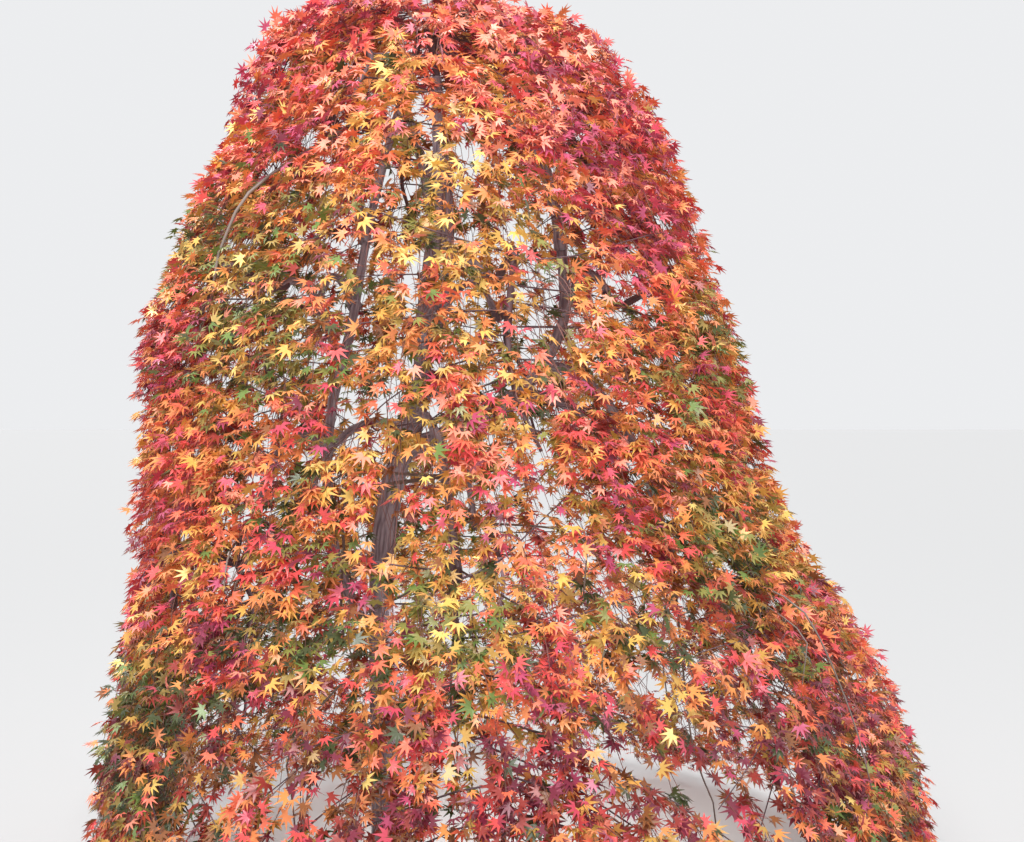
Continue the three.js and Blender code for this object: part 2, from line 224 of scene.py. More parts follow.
# The crest, whose masses grow from the ends of the trunk and the leaders
CREST = {
    "name": "crest",
    "low": 2.87,
    "enter_run": 0.06,
    "leaf_scale": 0.62,
    "pitch_scale": 0.85,
    "limbs": (
        ("right", "right_leader"),
        ("back", "back_leader"),
        ("left", "left_leader"),
        ("front", "trunk"),
    ),
}

TIER_NAMES = ("crest", "shoulder", "waist", "skirt")

# Every limb's radius at its tip, and how much thicker it is where it leaves another, along how many radii
LIMB_TIP = 0.014
COLLAR_SHARE = 0.7
COLLAR_LENGTH = 3

# Where the trunk and the leaders end: runs down from the crest, and how far inside the curtain
TRUNK_END_RUN = 0.09
LEADER_END_RUN = 0.19
LEADER_INSET = 0.02

# How a bough arches, as shares of its reach and of its tier's rise, and how far inside the curtain it ends
BOUGH_ARCH = ((0.3, 0.8), (0.68, 1))
BOUGH_INSET = 0.015

# How a mass is laid out in its space, as in the source: runs and depths in metres
ENTER = 0.02
SPRAY_LENGTH = 0.36
SPRAY_HANG = 0.72
SPRAY_ROW_PITCH = 0.16
STEM_SWAY = 0.09
STEM_DEPTH = 0.125
STEM_DEPTH_PLAY = 0.03
SIDE_WAVE = 0.04
SEED = 41
MASS_SEED_STEP = 7919

# What scatters whole numbers into luck from 0 to 1
LUCK_WAVES = (12.9898, 78.233, 37.719)
LUCK_SCALE = 43758.5453

# The camera: where it stands, its frame and focal length in the photograph's pixels, and its sensor's width
EYE = (0.42, -3.8, 1.6)
PHOTO_SIZE = (1024, 842)
PHOTO_FOCAL = 1098
SENSOR_WIDTH = 36

# Places where the photograph shows the sky through the whole crown, and places where it shows limbs through
# the front: middle across and down, half width and half height in its pixels, share of leaves left out
SKY_GAPS = (
    (610, 755, 40, 38, 0.4),
    (474, 760, 16, 28, 0.45),
    (232, 716, 34, 18, 0.6),
    (765, 707, 36, 15, 0.45),
    (850, 738, 28, 22, 0.4),
    (868, 690, 34, 26, 0.4),
    (538, 300, 14, 36, 0.7),
    (528, 436, 20, 16, 0.5),
    (532, 502, 24, 20, 0.35),
    (386, 404, 11, 11, 0.75),
    (432, 420, 10, 14, 0.6),
    (350, 432, 9, 16, 0.7),
    (402, 512, 11, 13, 0.6),
    (300, 800, 34, 26, 0.5),
    (520, 360, 60, 180, 0.14),
    (580, 740, 220, 70, 0.08),
)
LIMB_GAPS = (
    (383, 532, 14, 32, 0.9),
    (384, 600, 14, 24, 0.5),
    (396, 468, 16, 20, 0.85),
    (337, 470, 7, 60, 0.8),
    (345, 575, 8, 36, 0.7),
    (360, 330, 8, 26, 0.8),
    (368, 270, 8, 26, 0.8),
    (560, 320, 11, 72, 0.92),
    (598, 385, 14, 10, 0.7),
    (587, 590, 8, 16, 0.7),
    (224, 225, 8, 34, 0.8),
    (255, 360, 10, 34, 0.6),
    (238, 560, 12, 26, 0.8),
    (258, 622, 18, 22, 0.7),
    (446, 190, 8, 18, 0.7),
    (838, 676, 8, 60, 0.6),
)

# Small glints of sky all over the photograph's crown: the size of one in its pixels, the share of all such
# cells that are open, and how many more are open in patches given as above
GLINT_CELL = 12.5
GLINT_SHARE = 0.02
GLINT_PATCHES = (
    (420, 300, 110, 170, 0.1),
    (560, 300, 70, 110, 0.09),
    (420, 150, 80, 80, 0.12),
    (270, 130, 50, 90, 0.12),
    (520, 480, 70, 90, 0.09),
    (240, 420, 110, 170, 0.1),
    (700, 300, 60, 150, 0.12),
    (480, 620, 100, 60, 0.06),
    (640, 700, 120, 50, 0.1),
)

# Bare lengths of branches that hang in the photograph: how far in front of the trunk's foot they lie, their
# radius at the upper end, and their way in its pixels
BARE_BRANCHES = (
    (0.76, 0.0036, ((800, 608), (824, 648), (842, 690), (858, 735), (872, 790))),
    (0.8, 0.003, ((806, 640), (804, 668), (800, 700))),
    (0.74, 0.004, ((748, 668), (762, 684), (776, 704))),
    (0.93, 0.004, ((585, 540), (586, 566), (583, 598))),
    (0.88, 0.0035, ((618, 670), (628, 686), (636, 712))),
    (0.88, 0.0035, ((662, 655), (665, 680), (668, 706))),
    (0.82, 0.006, ((258, 546), (244, 566), (234, 590), (230, 622))),
    (0.88, 0.004, ((226, 566), (224, 612), (227, 668))),
    (0.88, 0.0045, ((286, 660), (278, 682), (268, 708))),
    (0.95, 0.0045, ((289, 752), (292, 796), (296, 838))),
    (0.7, 0.007, ((346, 500), (344, 548), (341, 600), (344, 640))),
    (0.8, 0.005, ((331, 480), (326, 508), (320, 538))),
    (0.6, 0.008, ((246, 196), (230, 226), (218, 256), (212, 300))),
    (0.9, 0.004, ((452, 722), (461, 752), (472, 782))),
    (0.85, 0.004, ((692, 742), (700, 772), (712, 798), (716, 826))),
)

# Where the leaves have turned more or less than the rest: middle and reach in the photograph's pixels, and
# how far along the row of tints they are moved there
TURNED_PATCHES = (
    (390, 10, 150, 0.22),
    (392, 72, 50, -0.2),
    (255, 110, 80, 0.12),
    (420, 190, 90, -0.2),
    (620, 110, 110, 0.2),
    (655, 235, 45, 0.14),
    (715, 330, 45, -0.12),
    (700, 520, 60, -0.15),
    (250, 250, 100, -0.1),
    (150, 330, 50, 0.2),
    (500, 380, 110, -0.14),
    (150, 520, 60, 0.1),
    (190, 620, 90, 0.08),
    (320, 640, 70, -0.16),
    (330, 500, 45, -0.08),
    (700, 430, 60, 0.08),
    (115, 715, 70, -0.08),
    (400, 640, 40, -0.2),
    (360, 590, 50, 0.14),
    (455, 590, 60, -0.2),
    (560, 620, 60, 0.06),
    (650, 650, 45, -0.2),
    (755, 545, 55, -0.17),
    (610, 540, 60, 0.08),
    (830, 600, 60, 0.06),
    (720, 760, 110, 0.06),
    (560, 760, 140, 0.08),
)

# Where some of the leaves are still green: middle, half width and half height in pixels, and their share
GREEN_PATCHES = (
    (250, 290, 90, 120, 0.44),
    (190, 190, 40, 40, 0.25),
    (330, 380, 60, 80, 0.3),
    (500, 330, 80, 90, 0.14),
    (430, 175, 40, 30, 0.2),
    (400, 600, 60, 50, 0.22),
    (320, 650, 60, 80, 0.45),
    (200, 690, 60, 60, 0.2),
    (300, 520, 60, 60, 0.2),
    (115, 710, 60, 80, 0.5),
    (715, 310, 40, 50, 0.45),
    (690, 400, 50, 60, 0.28),
    (700, 550, 50, 50, 0.4),
    (640, 620, 60, 50, 0.24),
    (860, 800, 70, 50, 0.2),
    (540, 690, 50, 40, 0.16),
    (470, 640, 50, 60, 0.2),
    (760, 620, 60, 50, 0.16),
)

# Where more of the leaves are darker, partly dull and partly painted shade, and where more are pale, as
# painted
# highlight: middle, half width, half height and share
DULL_AND_SHADE_PATCHES = (
    (230, 330, 110, 140, 0.08),
    (330, 400, 60, 160, 0.08),
    (170, 740, 130, 100, 0.5),
    (310, 660, 70, 70, 0.2),
    (400, 790, 150, 70, 0.46),
    (610, 790, 100, 60, 0.4),
    (700, 590, 110, 100, 0.2),
    (790, 750, 150, 100, 0.46),
)
# Painted highlight: in these patches more of the outer leaves take the pale straw and coral tints
PAINTED_HIGHLIGHT_PATCHES = (
    (500, 220, 130, 150, 0.2),
    (460, 60, 230, 90, 0.38),
    (240, 330, 110, 140, 0.12),
    (520, 470, 80, 110, 0.24),
    (470, 610, 80, 50, 0.14),
    (800, 560, 60, 60, 0.14),
    (700, 300, 40, 90, 0.12),
)


def colour(code):
    """A linear colour from its six-digit code"""
    parts = [int(code[i : i + 2], 16) / 255 for i in (0, 2, 4)]
    return tuple(c / 12.92 if c <= 0.04045 else ((c + 0.055) / 1.055) ** 2.4 for c in parts)


def tint_property(name, code):
    """A colour that the user may change"""
    return FloatVectorProperty(
        name=name, description=f"{name} colour", subtype="COLOR", size=3, min=0, max=1, default=colour(code)
    )


def length_property(name, description, value):
    """A length in metres that the user may change"""
    return FloatProperty(name=name, description=description, default=value, min=0, unit="LENGTH", precision=4)


def strength_property(name, description, value):
    """The strength of a light, or of the light painted into the leaves, that the user may change"""
    return FloatProperty(name=name, description=description, default=value, min=0)


class MapleBark(bpy.types.PropertyGroup):
    """Finish of the trunk, leaders, boughs and twigs"""

    relief: length_property("Relief", "Height of the ridges in the trunk's bark", 0.0024)
    ridge: tint_property("Ridge", "b0a5ad")
    furrow: tint_property("Furrow", "74666f")
    weathered: tint_property("Weathered", "b2b4c2")
    branch: tint_property("Branch", "7f7068")
    twig: tint_property("Twig", "6a545a")
    shoot: tint_property("Shoot", "84564c")


class MapleShoots(bpy.types.PropertyGroup):
    """Sizes of the twigs and of the shoots that hang from them"""

    curtain: length_property("Curtain", "Thickness of the hanging foliage", 0.34)
    depth_share: FloatProperty(
        name="Depth share",
        description="Depth of the crown against its width",
        default=0.95,
        subtype="FACTOR",
        min=0.5,
        max=1.5,
    )
    rows: IntProperty(name="Rows", description="Rows of twigs for each solid one", default=2, min=1, max=6)
    pitch: length_property("Shoot pitch", "Distance between shoots along a twig", 0.046)
    fall: length_property("Fall", "Longest fall of a hanging shoot", 0.46)
    twig_radius: length_property("Twig radius", "Radius of a twig at its foot", 0.003)
    shoot_radius: length_property("Shoot radius", "Radius of a shoot at its foot", 0.0016)


class MapleLeaves(bpy.types.PropertyGroup):
    """Sizes of the leaves and their stalks"""

    length: length_property("Length", "Length of a leaf's middle lobe", 0.0424)
    stalk: length_property("Stalk", "Length of a leaf's stalk", 0.026)
    stalk_radius: length_property("Stalk radius", "Radius of a leaf's stalk at its foot", 0.0008)
    pitch: length_property("Pair pitch", "Distance between pairs of leaves along a shoot", 0.034)
    # Painted glow: every leaf sends out light of its own tint whatever lights it, standing in for light that
    # comes through the leaf
    painted_glow: strength_property("Glow", "Light that comes through a leaf", 0.12)


class MapleTints(bpy.types.PropertyGroup):
    """Base colours of the leaves, from the least turned to the most, then darker ones for drab leaves and
    painted shade, and lighter ones for yellow leaves and painted highlight
    """

    green: tint_property("Green", "6a8039")
    olive: tint_property("Olive", "86823a")
    bronze: tint_property("Bronze", "9c8039")
    ochre: tint_property("Ochre", "c49644")
    amber: tint_property("Amber", "e8aa50")
    orange: tint_property("Orange", "ea944e")
    rust: tint_property("Rust", "e0834b")
    vermilion: tint_property("Vermilion", "e86a4a")
    scarlet: tint_property("Scarlet", "de4c4a")
    crimson: tint_property("Crimson", "ca4458")
    rose: tint_property("Rose", "b84466")
    moss: tint_property("Moss", "404820")
    sienna: tint_property("Sienna", "864c1e")
    brick: tint_property("Brick", "922c22")
    maroon: tint_property("Maroon", "782036")
    gold: tint_property("Gold", "e4bc5c")
    straw: tint_property("Straw", "ecc66e")
    coral: tint_property("Coral", "f49478")


class MapleStage(bpy.types.PropertyGroup):
    """Floor, light and camera"""

    floor: tint_property("Floor", "b6b6b6")
    sky: tint_property("Sky", "f4f5f7")
    sky_strength: strength_property("Sky strength", "Light from all round", 0.93)
    key_strength: strength_property("Key strength", "Light from high in front", 1.5)
    front_power: strength_property("Front power", "Soft light above the camera", 68)
    back_strength: strength_property("Back strength", "Light from high behind", 1.5)
    inner_power: strength_property("Inner power", "Light under the crown", 22)
    floor_size: length_property("Floor size", "Side of the floor", 400)


# The tints as leaves turn, then the darker ones for dull leaves and painted shade, and the lighter ones for
# yellow leaves and painted highlight
ROW_OF_TINTS = (
    "green",
    "olive",
    "bronze",
    "ochre",
    "amber",
    "orange",
    "rust",
    "vermilion",
    "scarlet",
    "crimson",
    "rose",
)
ALL_TINTS = (*ROW_OF_TINTS, "moss", "sienna", "brick", "maroon", "gold", "straw", "coral")

# The lights: kind, place, the side they shine from, the setting of their strength, their width, which is an
# angle for a sun and metres for a disk, and the angle that a disk's light spreads over
LIGHTS = {
    "key_light": ("SUN", (-3, -4, 7), (0.25, -0.6, 1.2), "key_strength", math.radians(12), None),
    "front_light": ("AREA", (-0.4, -3.2, 4.4), (-0.6, -2.6, 1.8), "front_power", 1.6, math.radians(130)),
    "back_light": ("SUN", (-3, 6, 7), (-0.35, 0.8, 1.0), "back_strength", math.radians(25), None),
    "inner_light": ("AREA", (0.45, 0.5, 1.0), (0, 0, 1), "inner_power", 1.4, math.pi),
}


def random_from(seed):
    """The source's repeatable stream of numbers from 0 to 1"""
    mask = 0xFFFFFFFF
    state = seed & mask
    while True:
        state = (state + 0x6D2B79F5) & mask
        t = ((state ^ (state >> 15)) * (state | 1)) & mask
        t ^= (t + (t ^ (t >> 7)) * (t | 61)) & mask
        yield ((t ^ (t >> 14)) & mask) / 4294967296


def unit(vectors):
    """Vectors along the last axis, each of length 1"""
    return vectors / np.maximum(np.linalg.norm(vectors, axis=-1, keepdims=True), 1e-12)


def lengths_along(points):
    """How far along a line each of its points lies"""
    return np.concatenate([[0], np.cumsum(np.linalg.norm(np.diff(points, axis=0), axis=1))])


def smooth_points(points, count, fine=400):
    """Evenly spaced points along a centripetal curve through the given ones"""
    points = np.asarray(points, float)
    padded = np.concatenate([[2 * points[0] - points[1]], points, [2 * points[-1] - points[-2]]])
    t = np.linspace(0, len(points) - 1, fine + 1)
    i = np.minimum(t.astype(int), len(points) - 2)
    w = (t - i)[:, None]
    p0, p1, p2, p3 = (padded[i + k] for k in range(4))
    d0, d1, d2 = (np.linalg.norm(step, axis=1, keepdims=True) ** 0.5 for step in (p1 - p0, p2 - p1, p3 - p2))
    m1 = ((p1 - p0) / d0 - (p2 - p0) / (d0 + d1) + (p2 - p1) / d1) * d1
    m2 = ((p2 - p1) / d1 - (p3 - p1) / (d1 + d2) + (p3 - p2) / d2) * d1
    curve = p1 + w * m1 + w**2 * (3 * (p2 - p1) - 2 * m1 - m2) + w**3 * (2 * (p1 - p2) + m1 + m2)
    lengths = lengths_along(curve)
    even = np.linspace(0, lengths[-1], count + 1)
    return np.stack([np.interp(even, lengths, curve[:, k]) for k in range(3)], axis=1)


class Crown:
    """The crown's shell: a smooth profile, turned round the leaning middle line"""

    def __init__(self, sizes):
        self.curtain = sizes.curtain
        self.depth_share = sizes.depth_share
        outline = np.array(OUTLINE)
        points = smooth_points(np.insert(outline, 1, 0, axis=1), PROFILE_STEPS)
        self.r, self.z = points[:, 0], points[:, 2]
        steps = np.hypot(np.diff(self.r), np.diff(self.z))
        self.length = steps.sum()
        self.ways = np.stack([-np.diff(self.z) / steps, np.diff(self.r) / steps], axis=1)

    def profile(self, run):
        """Radius, height and outward normal of the profile at a run down from the crest"""
        t = np.clip(np.asarray(run) / self.length, 0, 1) * PROFILE_STEPS
        i = np.minimum(np.floor(t).astype(int), PROFILE_STEPS - 1)
        share = t - i
        r = self.r[i] * (1 - share) + self.r[i + 1] * share
        z = self.z[i] * (1 - share) + self.z[i + 1] * share
        return r, z, self.ways[i, 0], self.ways[i, 1]

    def run_at_height(self, z):
        """The run down the profile at which it passes a height"""
        runs = np.linspace(0, self.length, PROFILE_STEPS + 1)
        return float(np.interp(-z, -self.z, runs))

    def bulge(self, angle, z):
        """How much the crown bulges and draws in as it goes round"""
        wide = 0.03 * np.sin(5 * angle + 0.8) * np.sin(z / 0.52)
        return 1 + wide + 0.015 * np.sin(3 * angle + z / 0.4)

    def point(self, angle, run, depth):
        """Points in the curtain: angle round the crown, run down it, and depth in from its outer face"""
        pr, pz, nr, nz = self.profile(run)
        z = pz - depth * nz
        r = (pr - depth * nr) * self.bulge(angle, z)
        trim = np.where(np.cos(angle) < 0, np.interp(z, *zip(*LEFT_TRIM)), np.interp(z, *zip(*RIGHT_TRIM)))
        r = r - trim * np.cos(angle) ** 2 * np.clip(1 - depth / self.curtain, 0, 1)
        x = np.interp(z, *zip(*LEAN)) + r * np.cos(angle)
        rise = np.maximum(z - DOME_HEIGHT, 0)
        z = z - rise * (1 - np.interp(x, *zip(*DOME_SHARES)))
        return np.stack([x, r * self.depth_share * np.sin(angle), z], axis=-1)

    def at(self, places):
        """Points in space from rows of angle, run and depth"""
        return self.point(places[..., 0], places[..., 1], places[..., 2])

    def ways_at(self, angle, run, depth):
        """Directions at places in the curtain: outward, down its face and round it"""
        low = np.clip(run + 0.03, 0.06, self.length)
        down = unit(self.point(angle, low, depth) - self.point(angle, low - 0.06, depth))
        across = unit(self.point(angle + 0.05, run, depth) - self.point(angle - 0.05, run, depth))
        outward = unit(np.cross(down, across))
        return outward, down, across


def make_limb(centres, foot, nodes):
    """A limb: its middle line, its radius at the foot, and the nodes that it replaces"""
    return {"centres": np.asarray(centres, float), "foot": foot, "nodes": nodes}


def limb_point(limb, z):
    """The point of a rising limb's middle line at a height"""
    centres = limb["centres"]
    i = int(np.argmax(centres[:, 2] > z))
    share = (z - centres[i - 1, 2]) / (centres[i, 2] - centres[i - 1, 2])
    return centres[i - 1] * (1 - share) + centres[i] * share


def mass_space(name, tier, index, limb, centre, runs):
    """The space that a mass of foliage fills: its place in its tier, the limb that it grows from, and its
    angles and runs in the crown"""
    count = len(tier["limbs"])
    return {
        "name": name,
        "tier": tier["name"],
        "index": index,
        "count": count,
        "centre": centre,
        "width": 2 * math.pi / count,
        "enter_run": runs[0],
        "low_run": runs[1],
        "leaf_scale": tier["leaf_scale"],
        "pitch_scale": tier["pitch_scale"],
        "limb": limb,
    }


def lay_out_limbs(crown):
    """The trunk, the leaders and the boughs, by name, and the spaces of the masses that they enter"""
    inner = crown.curtain + LEADER_INSET
    way = (*TRUNK_WAY, crown.point(-math.pi / 2, TRUNK_END_RUN, inner))
    limbs = {"trunk": make_limb(np.concatenate([TRUNK_FOOT, smooth_points(way, 11)]), None, ("trunk",))}
    for leader in LEADERS:
        start = limb_point(limbs["trunk"], leader["from"])
        way = (start, *leader["way"], crown.point(leader["angle"], LEADER_END_RUN, inner))
        limbs[leader["name"]] = make_limb(smooth_points(way, 7), leader["foot"], (leader["name"],))
    spaces = []
    crest_runs = (CREST["enter_run"], crown.run_at_height(CREST["low"]))
    for index, (side, limb) in enumerate(CREST["limbs"]):
        centre = index * math.pi / 2
        spaces.append(mass_space(f"{side}_crest_foliage", CREST, index, limb, centre, crest_runs))
    for tier in TIERS:
        low_run = crown.run_at_height(tier["low"]) if tier["low"] > 0 else crown.length
        runs = (crown.run_at_height(tier["top"]) + ENTER, low_run)
        for index, (parent, height) in enumerate(tier["limbs"]):
            centre = math.radians(tier["start"] + 360 / len(tier["limbs"]) * index)
            name = f"{tier['name']}_bough_{index + 1}"
            start = limb_point(limbs[parent], height)
            target = crown.point(centre, runs[0], crown.curtain + BOUGH_INSET)
            arch = (start + (target - start) * out + (0, 0, tier["rise"] * up) for out, up in BOUGH_ARCH)
            way = (start, *arch, target)
            hanging = name.replace("bough", "hanging_bough")
            nodes = (name, hanging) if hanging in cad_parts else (name,)
            limbs[name] = make_limb(smooth_points(way, 6 if len(nodes) > 1 else 5), tier["foot"], nodes)
            spaces.append(mass_space(f"{tier['name']}_foliage_{index + 1}", tier, index, name, centre, runs))
    for seed_index, space in enumerate(spaces):
        space["seed_index"] = seed_index
    return limbs, spaces


def side_angle(space, side, run):
    """The angle of one wavy side of a mass's space"""
    edge = (space["index"] + side) % space["count"]
    return space["centre"] + (side - 0.5) * space["width"] + SIDE_WAVE * np.sin(run / 0.17 + edge * 1.9)


def photo_place(points):
    """Where points show in the photograph, in its pixels"""
    away = points - np.array(EYE)
    across = PHOTO_SIZE[0] / 2 + PHOTO_FOCAL * away[..., 0] / away[..., 1]
    down = PHOTO_SIZE[1] / 2 - PHOTO_FOCAL * away[..., 2] / away[..., 1]
    return across, down


def left_out(points, gaps, rng):
    """Which points fall in a gap and are left out, fewer towards its edge"""
    across, down = photo_place(points)
    gone = np.zeros(len(points), bool)
    for x, y, wide, high, share in gaps:
        off = ((across - x) / wide) ** 2 + ((down - y) / high) ** 2
        gone |= rng.random(len(points)) < share * np.clip(1.6 - 0.8 * off, 0, 1)
    return gone


def luck_of(cells, seed):
    """A repeatable number from 0 to 1 for each row of whole numbers"""
    return np.modf(np.abs(np.sin(cells @ LUCK_WAVES[: cells.shape[1]] + seed)) * LUCK_SCALE)[0]


def glints(points):
    """Which points lie in a cell of the photograph that is open right through the crown"""
    across, down = photo_place(points)
    cells = np.stack([0.8 * across + 0.6 * down, 0.8 * down - 0.6 * across], axis=1) // GLINT_CELL
    return luck_of(cells, 0) < GLINT_SHARE + patch_share(across, down, GLINT_PATCHES)


def cloudiness(points, size, seed):
    """A smooth noise of about -1 to 1 at points, in clouds of a size"""
    shift = Vector((seed * 7.3, seed * 1.9, seed * 4.1))
    return np.array([noise.noise(Vector(p / size) + shift) for p in points])


def new_piece(name, points, faces, materials, slots=None):
    """A mesh object from arrays: points, and groups of faces that have the same number of corners"""
    mesh = bpy.data.meshes.new(name)
    corners = np.concatenate([group.ravel() for group in faces])
    sizes = np.concatenate([np.full(len(group), group.shape[1]) for group in faces])
    mesh.vertices.add(len(points))
    mesh.vertices.foreach_set("co", points.astype(np.float32).ravel())
    mesh.loops.add(len(corners))
    mesh.loops.foreach_set("vertex_index", corners.astype(np.int32))
    mesh.polygons.add(len(sizes))
    mesh.polygons.foreach_set("loop_start", np.concatenate([[0], np.cumsum(sizes)[:-1]]).astype(np.int32))
    for material in materials:
        mesh.materials.append(material)
    if slots is not None:
        mesh.polygons.foreach_set("material_index", slots.astype(np.int32))
    mesh.update(calc_edges=True)
    mesh.validate()
    piece = bpy.data.objects.new(name, mesh)
    bpy.context.scene.collection.objects.link(piece)
    return piece


def settle(piece, nodes):
    """Gives a finished piece its body and hides the nodes that it stands for"""
    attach(piece, "root")
    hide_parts(*nodes)


def tubes(paths, radii, sides, towards):
    """Points, walls and ends of many tapering tubes, each along as many middle points, closed at both ends"""
    count, rings = paths.shape[:2]
    tangents = unit(np.gradient(paths, axis=1))
    across = unit(np.cross(tangents, towards[:, None, :]))
    up = np.cross(across, tangents)
    angles = (2 * np.arange(sides) + 1) * math.pi / sides
    ring = np.cos(angles)[:, None] * up[:, :, None, :] + np.sin(angles)[:, None] * across[:, :, None, :]
    points = paths[:, :, None, :] + radii[:, :, None, None] * ring
    starts = np.arange(count)[:, None, None] * rings * sides + np.arange(rings - 1)[None, :, None] * sides
    j = np.arange(sides)
    a = starts + j
    b = starts + (j + 1) % sides
    walls = np.stack([a, b, b + sides, a + sides], axis=-1).reshape(-1, 4)
    first = np.arange(count)[:, None] * rings * sides
    ends = np.concatenate([first + j[::-1], first + (rings - 1) * sides + j])
    return points.reshape(-1, 3), walls, ends


def spikes(feet, tips, radius, towards):
    """Points and faces of many three-sided stalks that taper to a point"""
    ways = unit(tips - feet)
    across = unit(np.cross(ways, towards))
    up = np.cross(across, ways)
    corners = [
        feet + radius * (math.cos(angle) * up + math.sin(angle) * across)
        for angle in (math.pi / 3, math.pi, math.pi * 5 / 3)
    ]
    points = np.stack([*corners, tips], axis=1)
    faces = np.array([(0, 1, 3), (1, 2, 3), (2, 0, 3), (2, 1, 0)])
    return points.reshape(-1, 3), (faces[None] + 4 * np.arange(len(feet))[:, None, None]).reshape(-1, 3)


def joined(parts):
    """Several (points, walls, ends) as one"""
    offsets = np.cumsum([0] + [len(points) for points, _, _ in parts])
    points = np.concatenate([points for points, _, _ in parts])
    groups = []
    for (_, walls, ends), offset in zip(parts, offsets):
        groups += [walls + offset, ends + offset]
    return points, groups


def plain_material(name, base, roughness, painted_glow=0, sheen=0):
    """A plain material, whose colour is the same all over"""
    material = bpy.data.materials.get(name) or bpy.data.materials.new(name)
    material.use_nodes = True
    shader = material.node_tree.nodes["Principled BSDF"]
    shader.inputs["Base Color"].default_value = (*base, 1)
    shader.inputs["Roughness"].default_value = roughness
    shader.inputs["Specular IOR Level"].default_value = 0.75
    shader.inputs["Sheen Weight"].default_value = sheen
    # Painted glow: the surface sends out light of its own base colour, as strong as the glow setting
    shader.inputs["Emission Color"].default_value = (*base, 1)
    shader.inputs["Emission Strength"].default_value = painted_glow
    material.diffuse_color = (*base, 1)
    return material


def leaf_materials(scene):
    """One material for each tint"""
    return [
        plain_material(
            f"leaf_{name}",
            getattr(scene.maple_tints, name),
            roughness=0.42,
            painted_glow=scene.maple_leaves.painted_glow,
            sheen=0.2,
        )
        for name in ALL_TINTS
    ]


def bark_material(finish):
    """Purplish grey bark with dark furrows along the limb, pale weathered patches and fine cross lines"""
    material = bpy.data.materials.get("maple_bark")
    if material:
        return material
    material = bpy.data.materials.new("maple_bark")
    material.use_nodes = True
    nodes, links = material.node_tree.nodes, material.node_tree.links
    shader = nodes["Principled BSDF"]
    place = nodes.new("ShaderNodeAttribute")
    place.attribute_name = "bark_place"

    def pattern(scale, detail, stretch):
        """A noise on the bark's own coordinates, drawn out or pressed together along the limb"""
        turn = nodes.new("ShaderNodeMapping")
        turn.inputs["Scale"].default_value = (1, 1, stretch)
        links.new(place.outputs["Vector"], turn.inputs["Vector"])
        texture = nodes.new("ShaderNodeTexNoise")
        texture.inputs["Scale"].default_value = scale
        texture.inputs["Detail"].default_value = detail
        links.new(turn.outputs["Vector"], texture.inputs["Vector"])
        return texture.outputs["Fac"]

    def ramp(source, low, high, at_low=0, at_high=1):
        """The source stretched so that low gives at_low and high gives at_high"""
        spread = nodes.new("ShaderNodeMapRange")
        for socket, value in (("From Min", low), ("From Max", high), ("To Min", at_low), ("To Max", at_high)):
            spread.inputs[socket].default_value = value
        links.new(source, spread.inputs["Value"])
        return spread.outputs["Result"]

    def blend(share, under, over):
        """under with over laid on it by share"""
        mix = nodes.new("ShaderNodeMix")
        mix.data_type = "RGBA"
        links.new(share, mix.inputs["Factor"])
        for socket, value in ((mix.inputs["A"], under), (mix.inputs["B"], over)):
            if isinstance(value, bpy.types.NodeSocket):
                links.new(value, socket)
            else:
                socket.default_value = (*value, 1)
        return mix.outputs["Result"]

    furrows = pattern(scale=95, detail=5, stretch=0.14)
    patches = pattern(scale=16, detail=3, stretch=0.4)
    lines = pattern(scale=60, detail=2, stretch=4)
    base = blend(ramp(furrows, 0.36, 0.62), finish.furrow, finish.ridge)
    base = blend(ramp(patches, 0.56, 0.72), base, finish.weathered)
    links.new(base, shader.inputs["Base Color"])
    links.new(ramp(patches, 0, 1, at_low=0.88, at_high=0.62), shader.inputs["Roughness"])
    height = nodes.new("ShaderNodeMath")
    height.operation = "MULTIPLY_ADD"
    height.inputs[1].default_value = 0.35
    links.new(lines, height.inputs[0])
    links.new(furrows, height.inputs[2])
    bump = nodes.new("ShaderNodeBump")
    bump.inputs["Strength"].default_value = 0.6
    bump.inputs["Distance"].default_value = 0.003
    links.new(height.outputs["Value"], bump.inputs["Height"])
    links.new(bump.outputs["Normal"], shader.inputs["Normal"])
    return material


def trunk_radius(z, angle):
    """The trunk's radius at a height and an angle round it, with the buttresses at its foot"""
    flare = np.clip(1 - z / FLARE_HEIGHT, 0, 1)
    return np.interp(z, *zip(*TRUNK_RADII)) * (1 + BUTTRESS_SHARE * flare * np.sin(BUTTRESSES * angle))


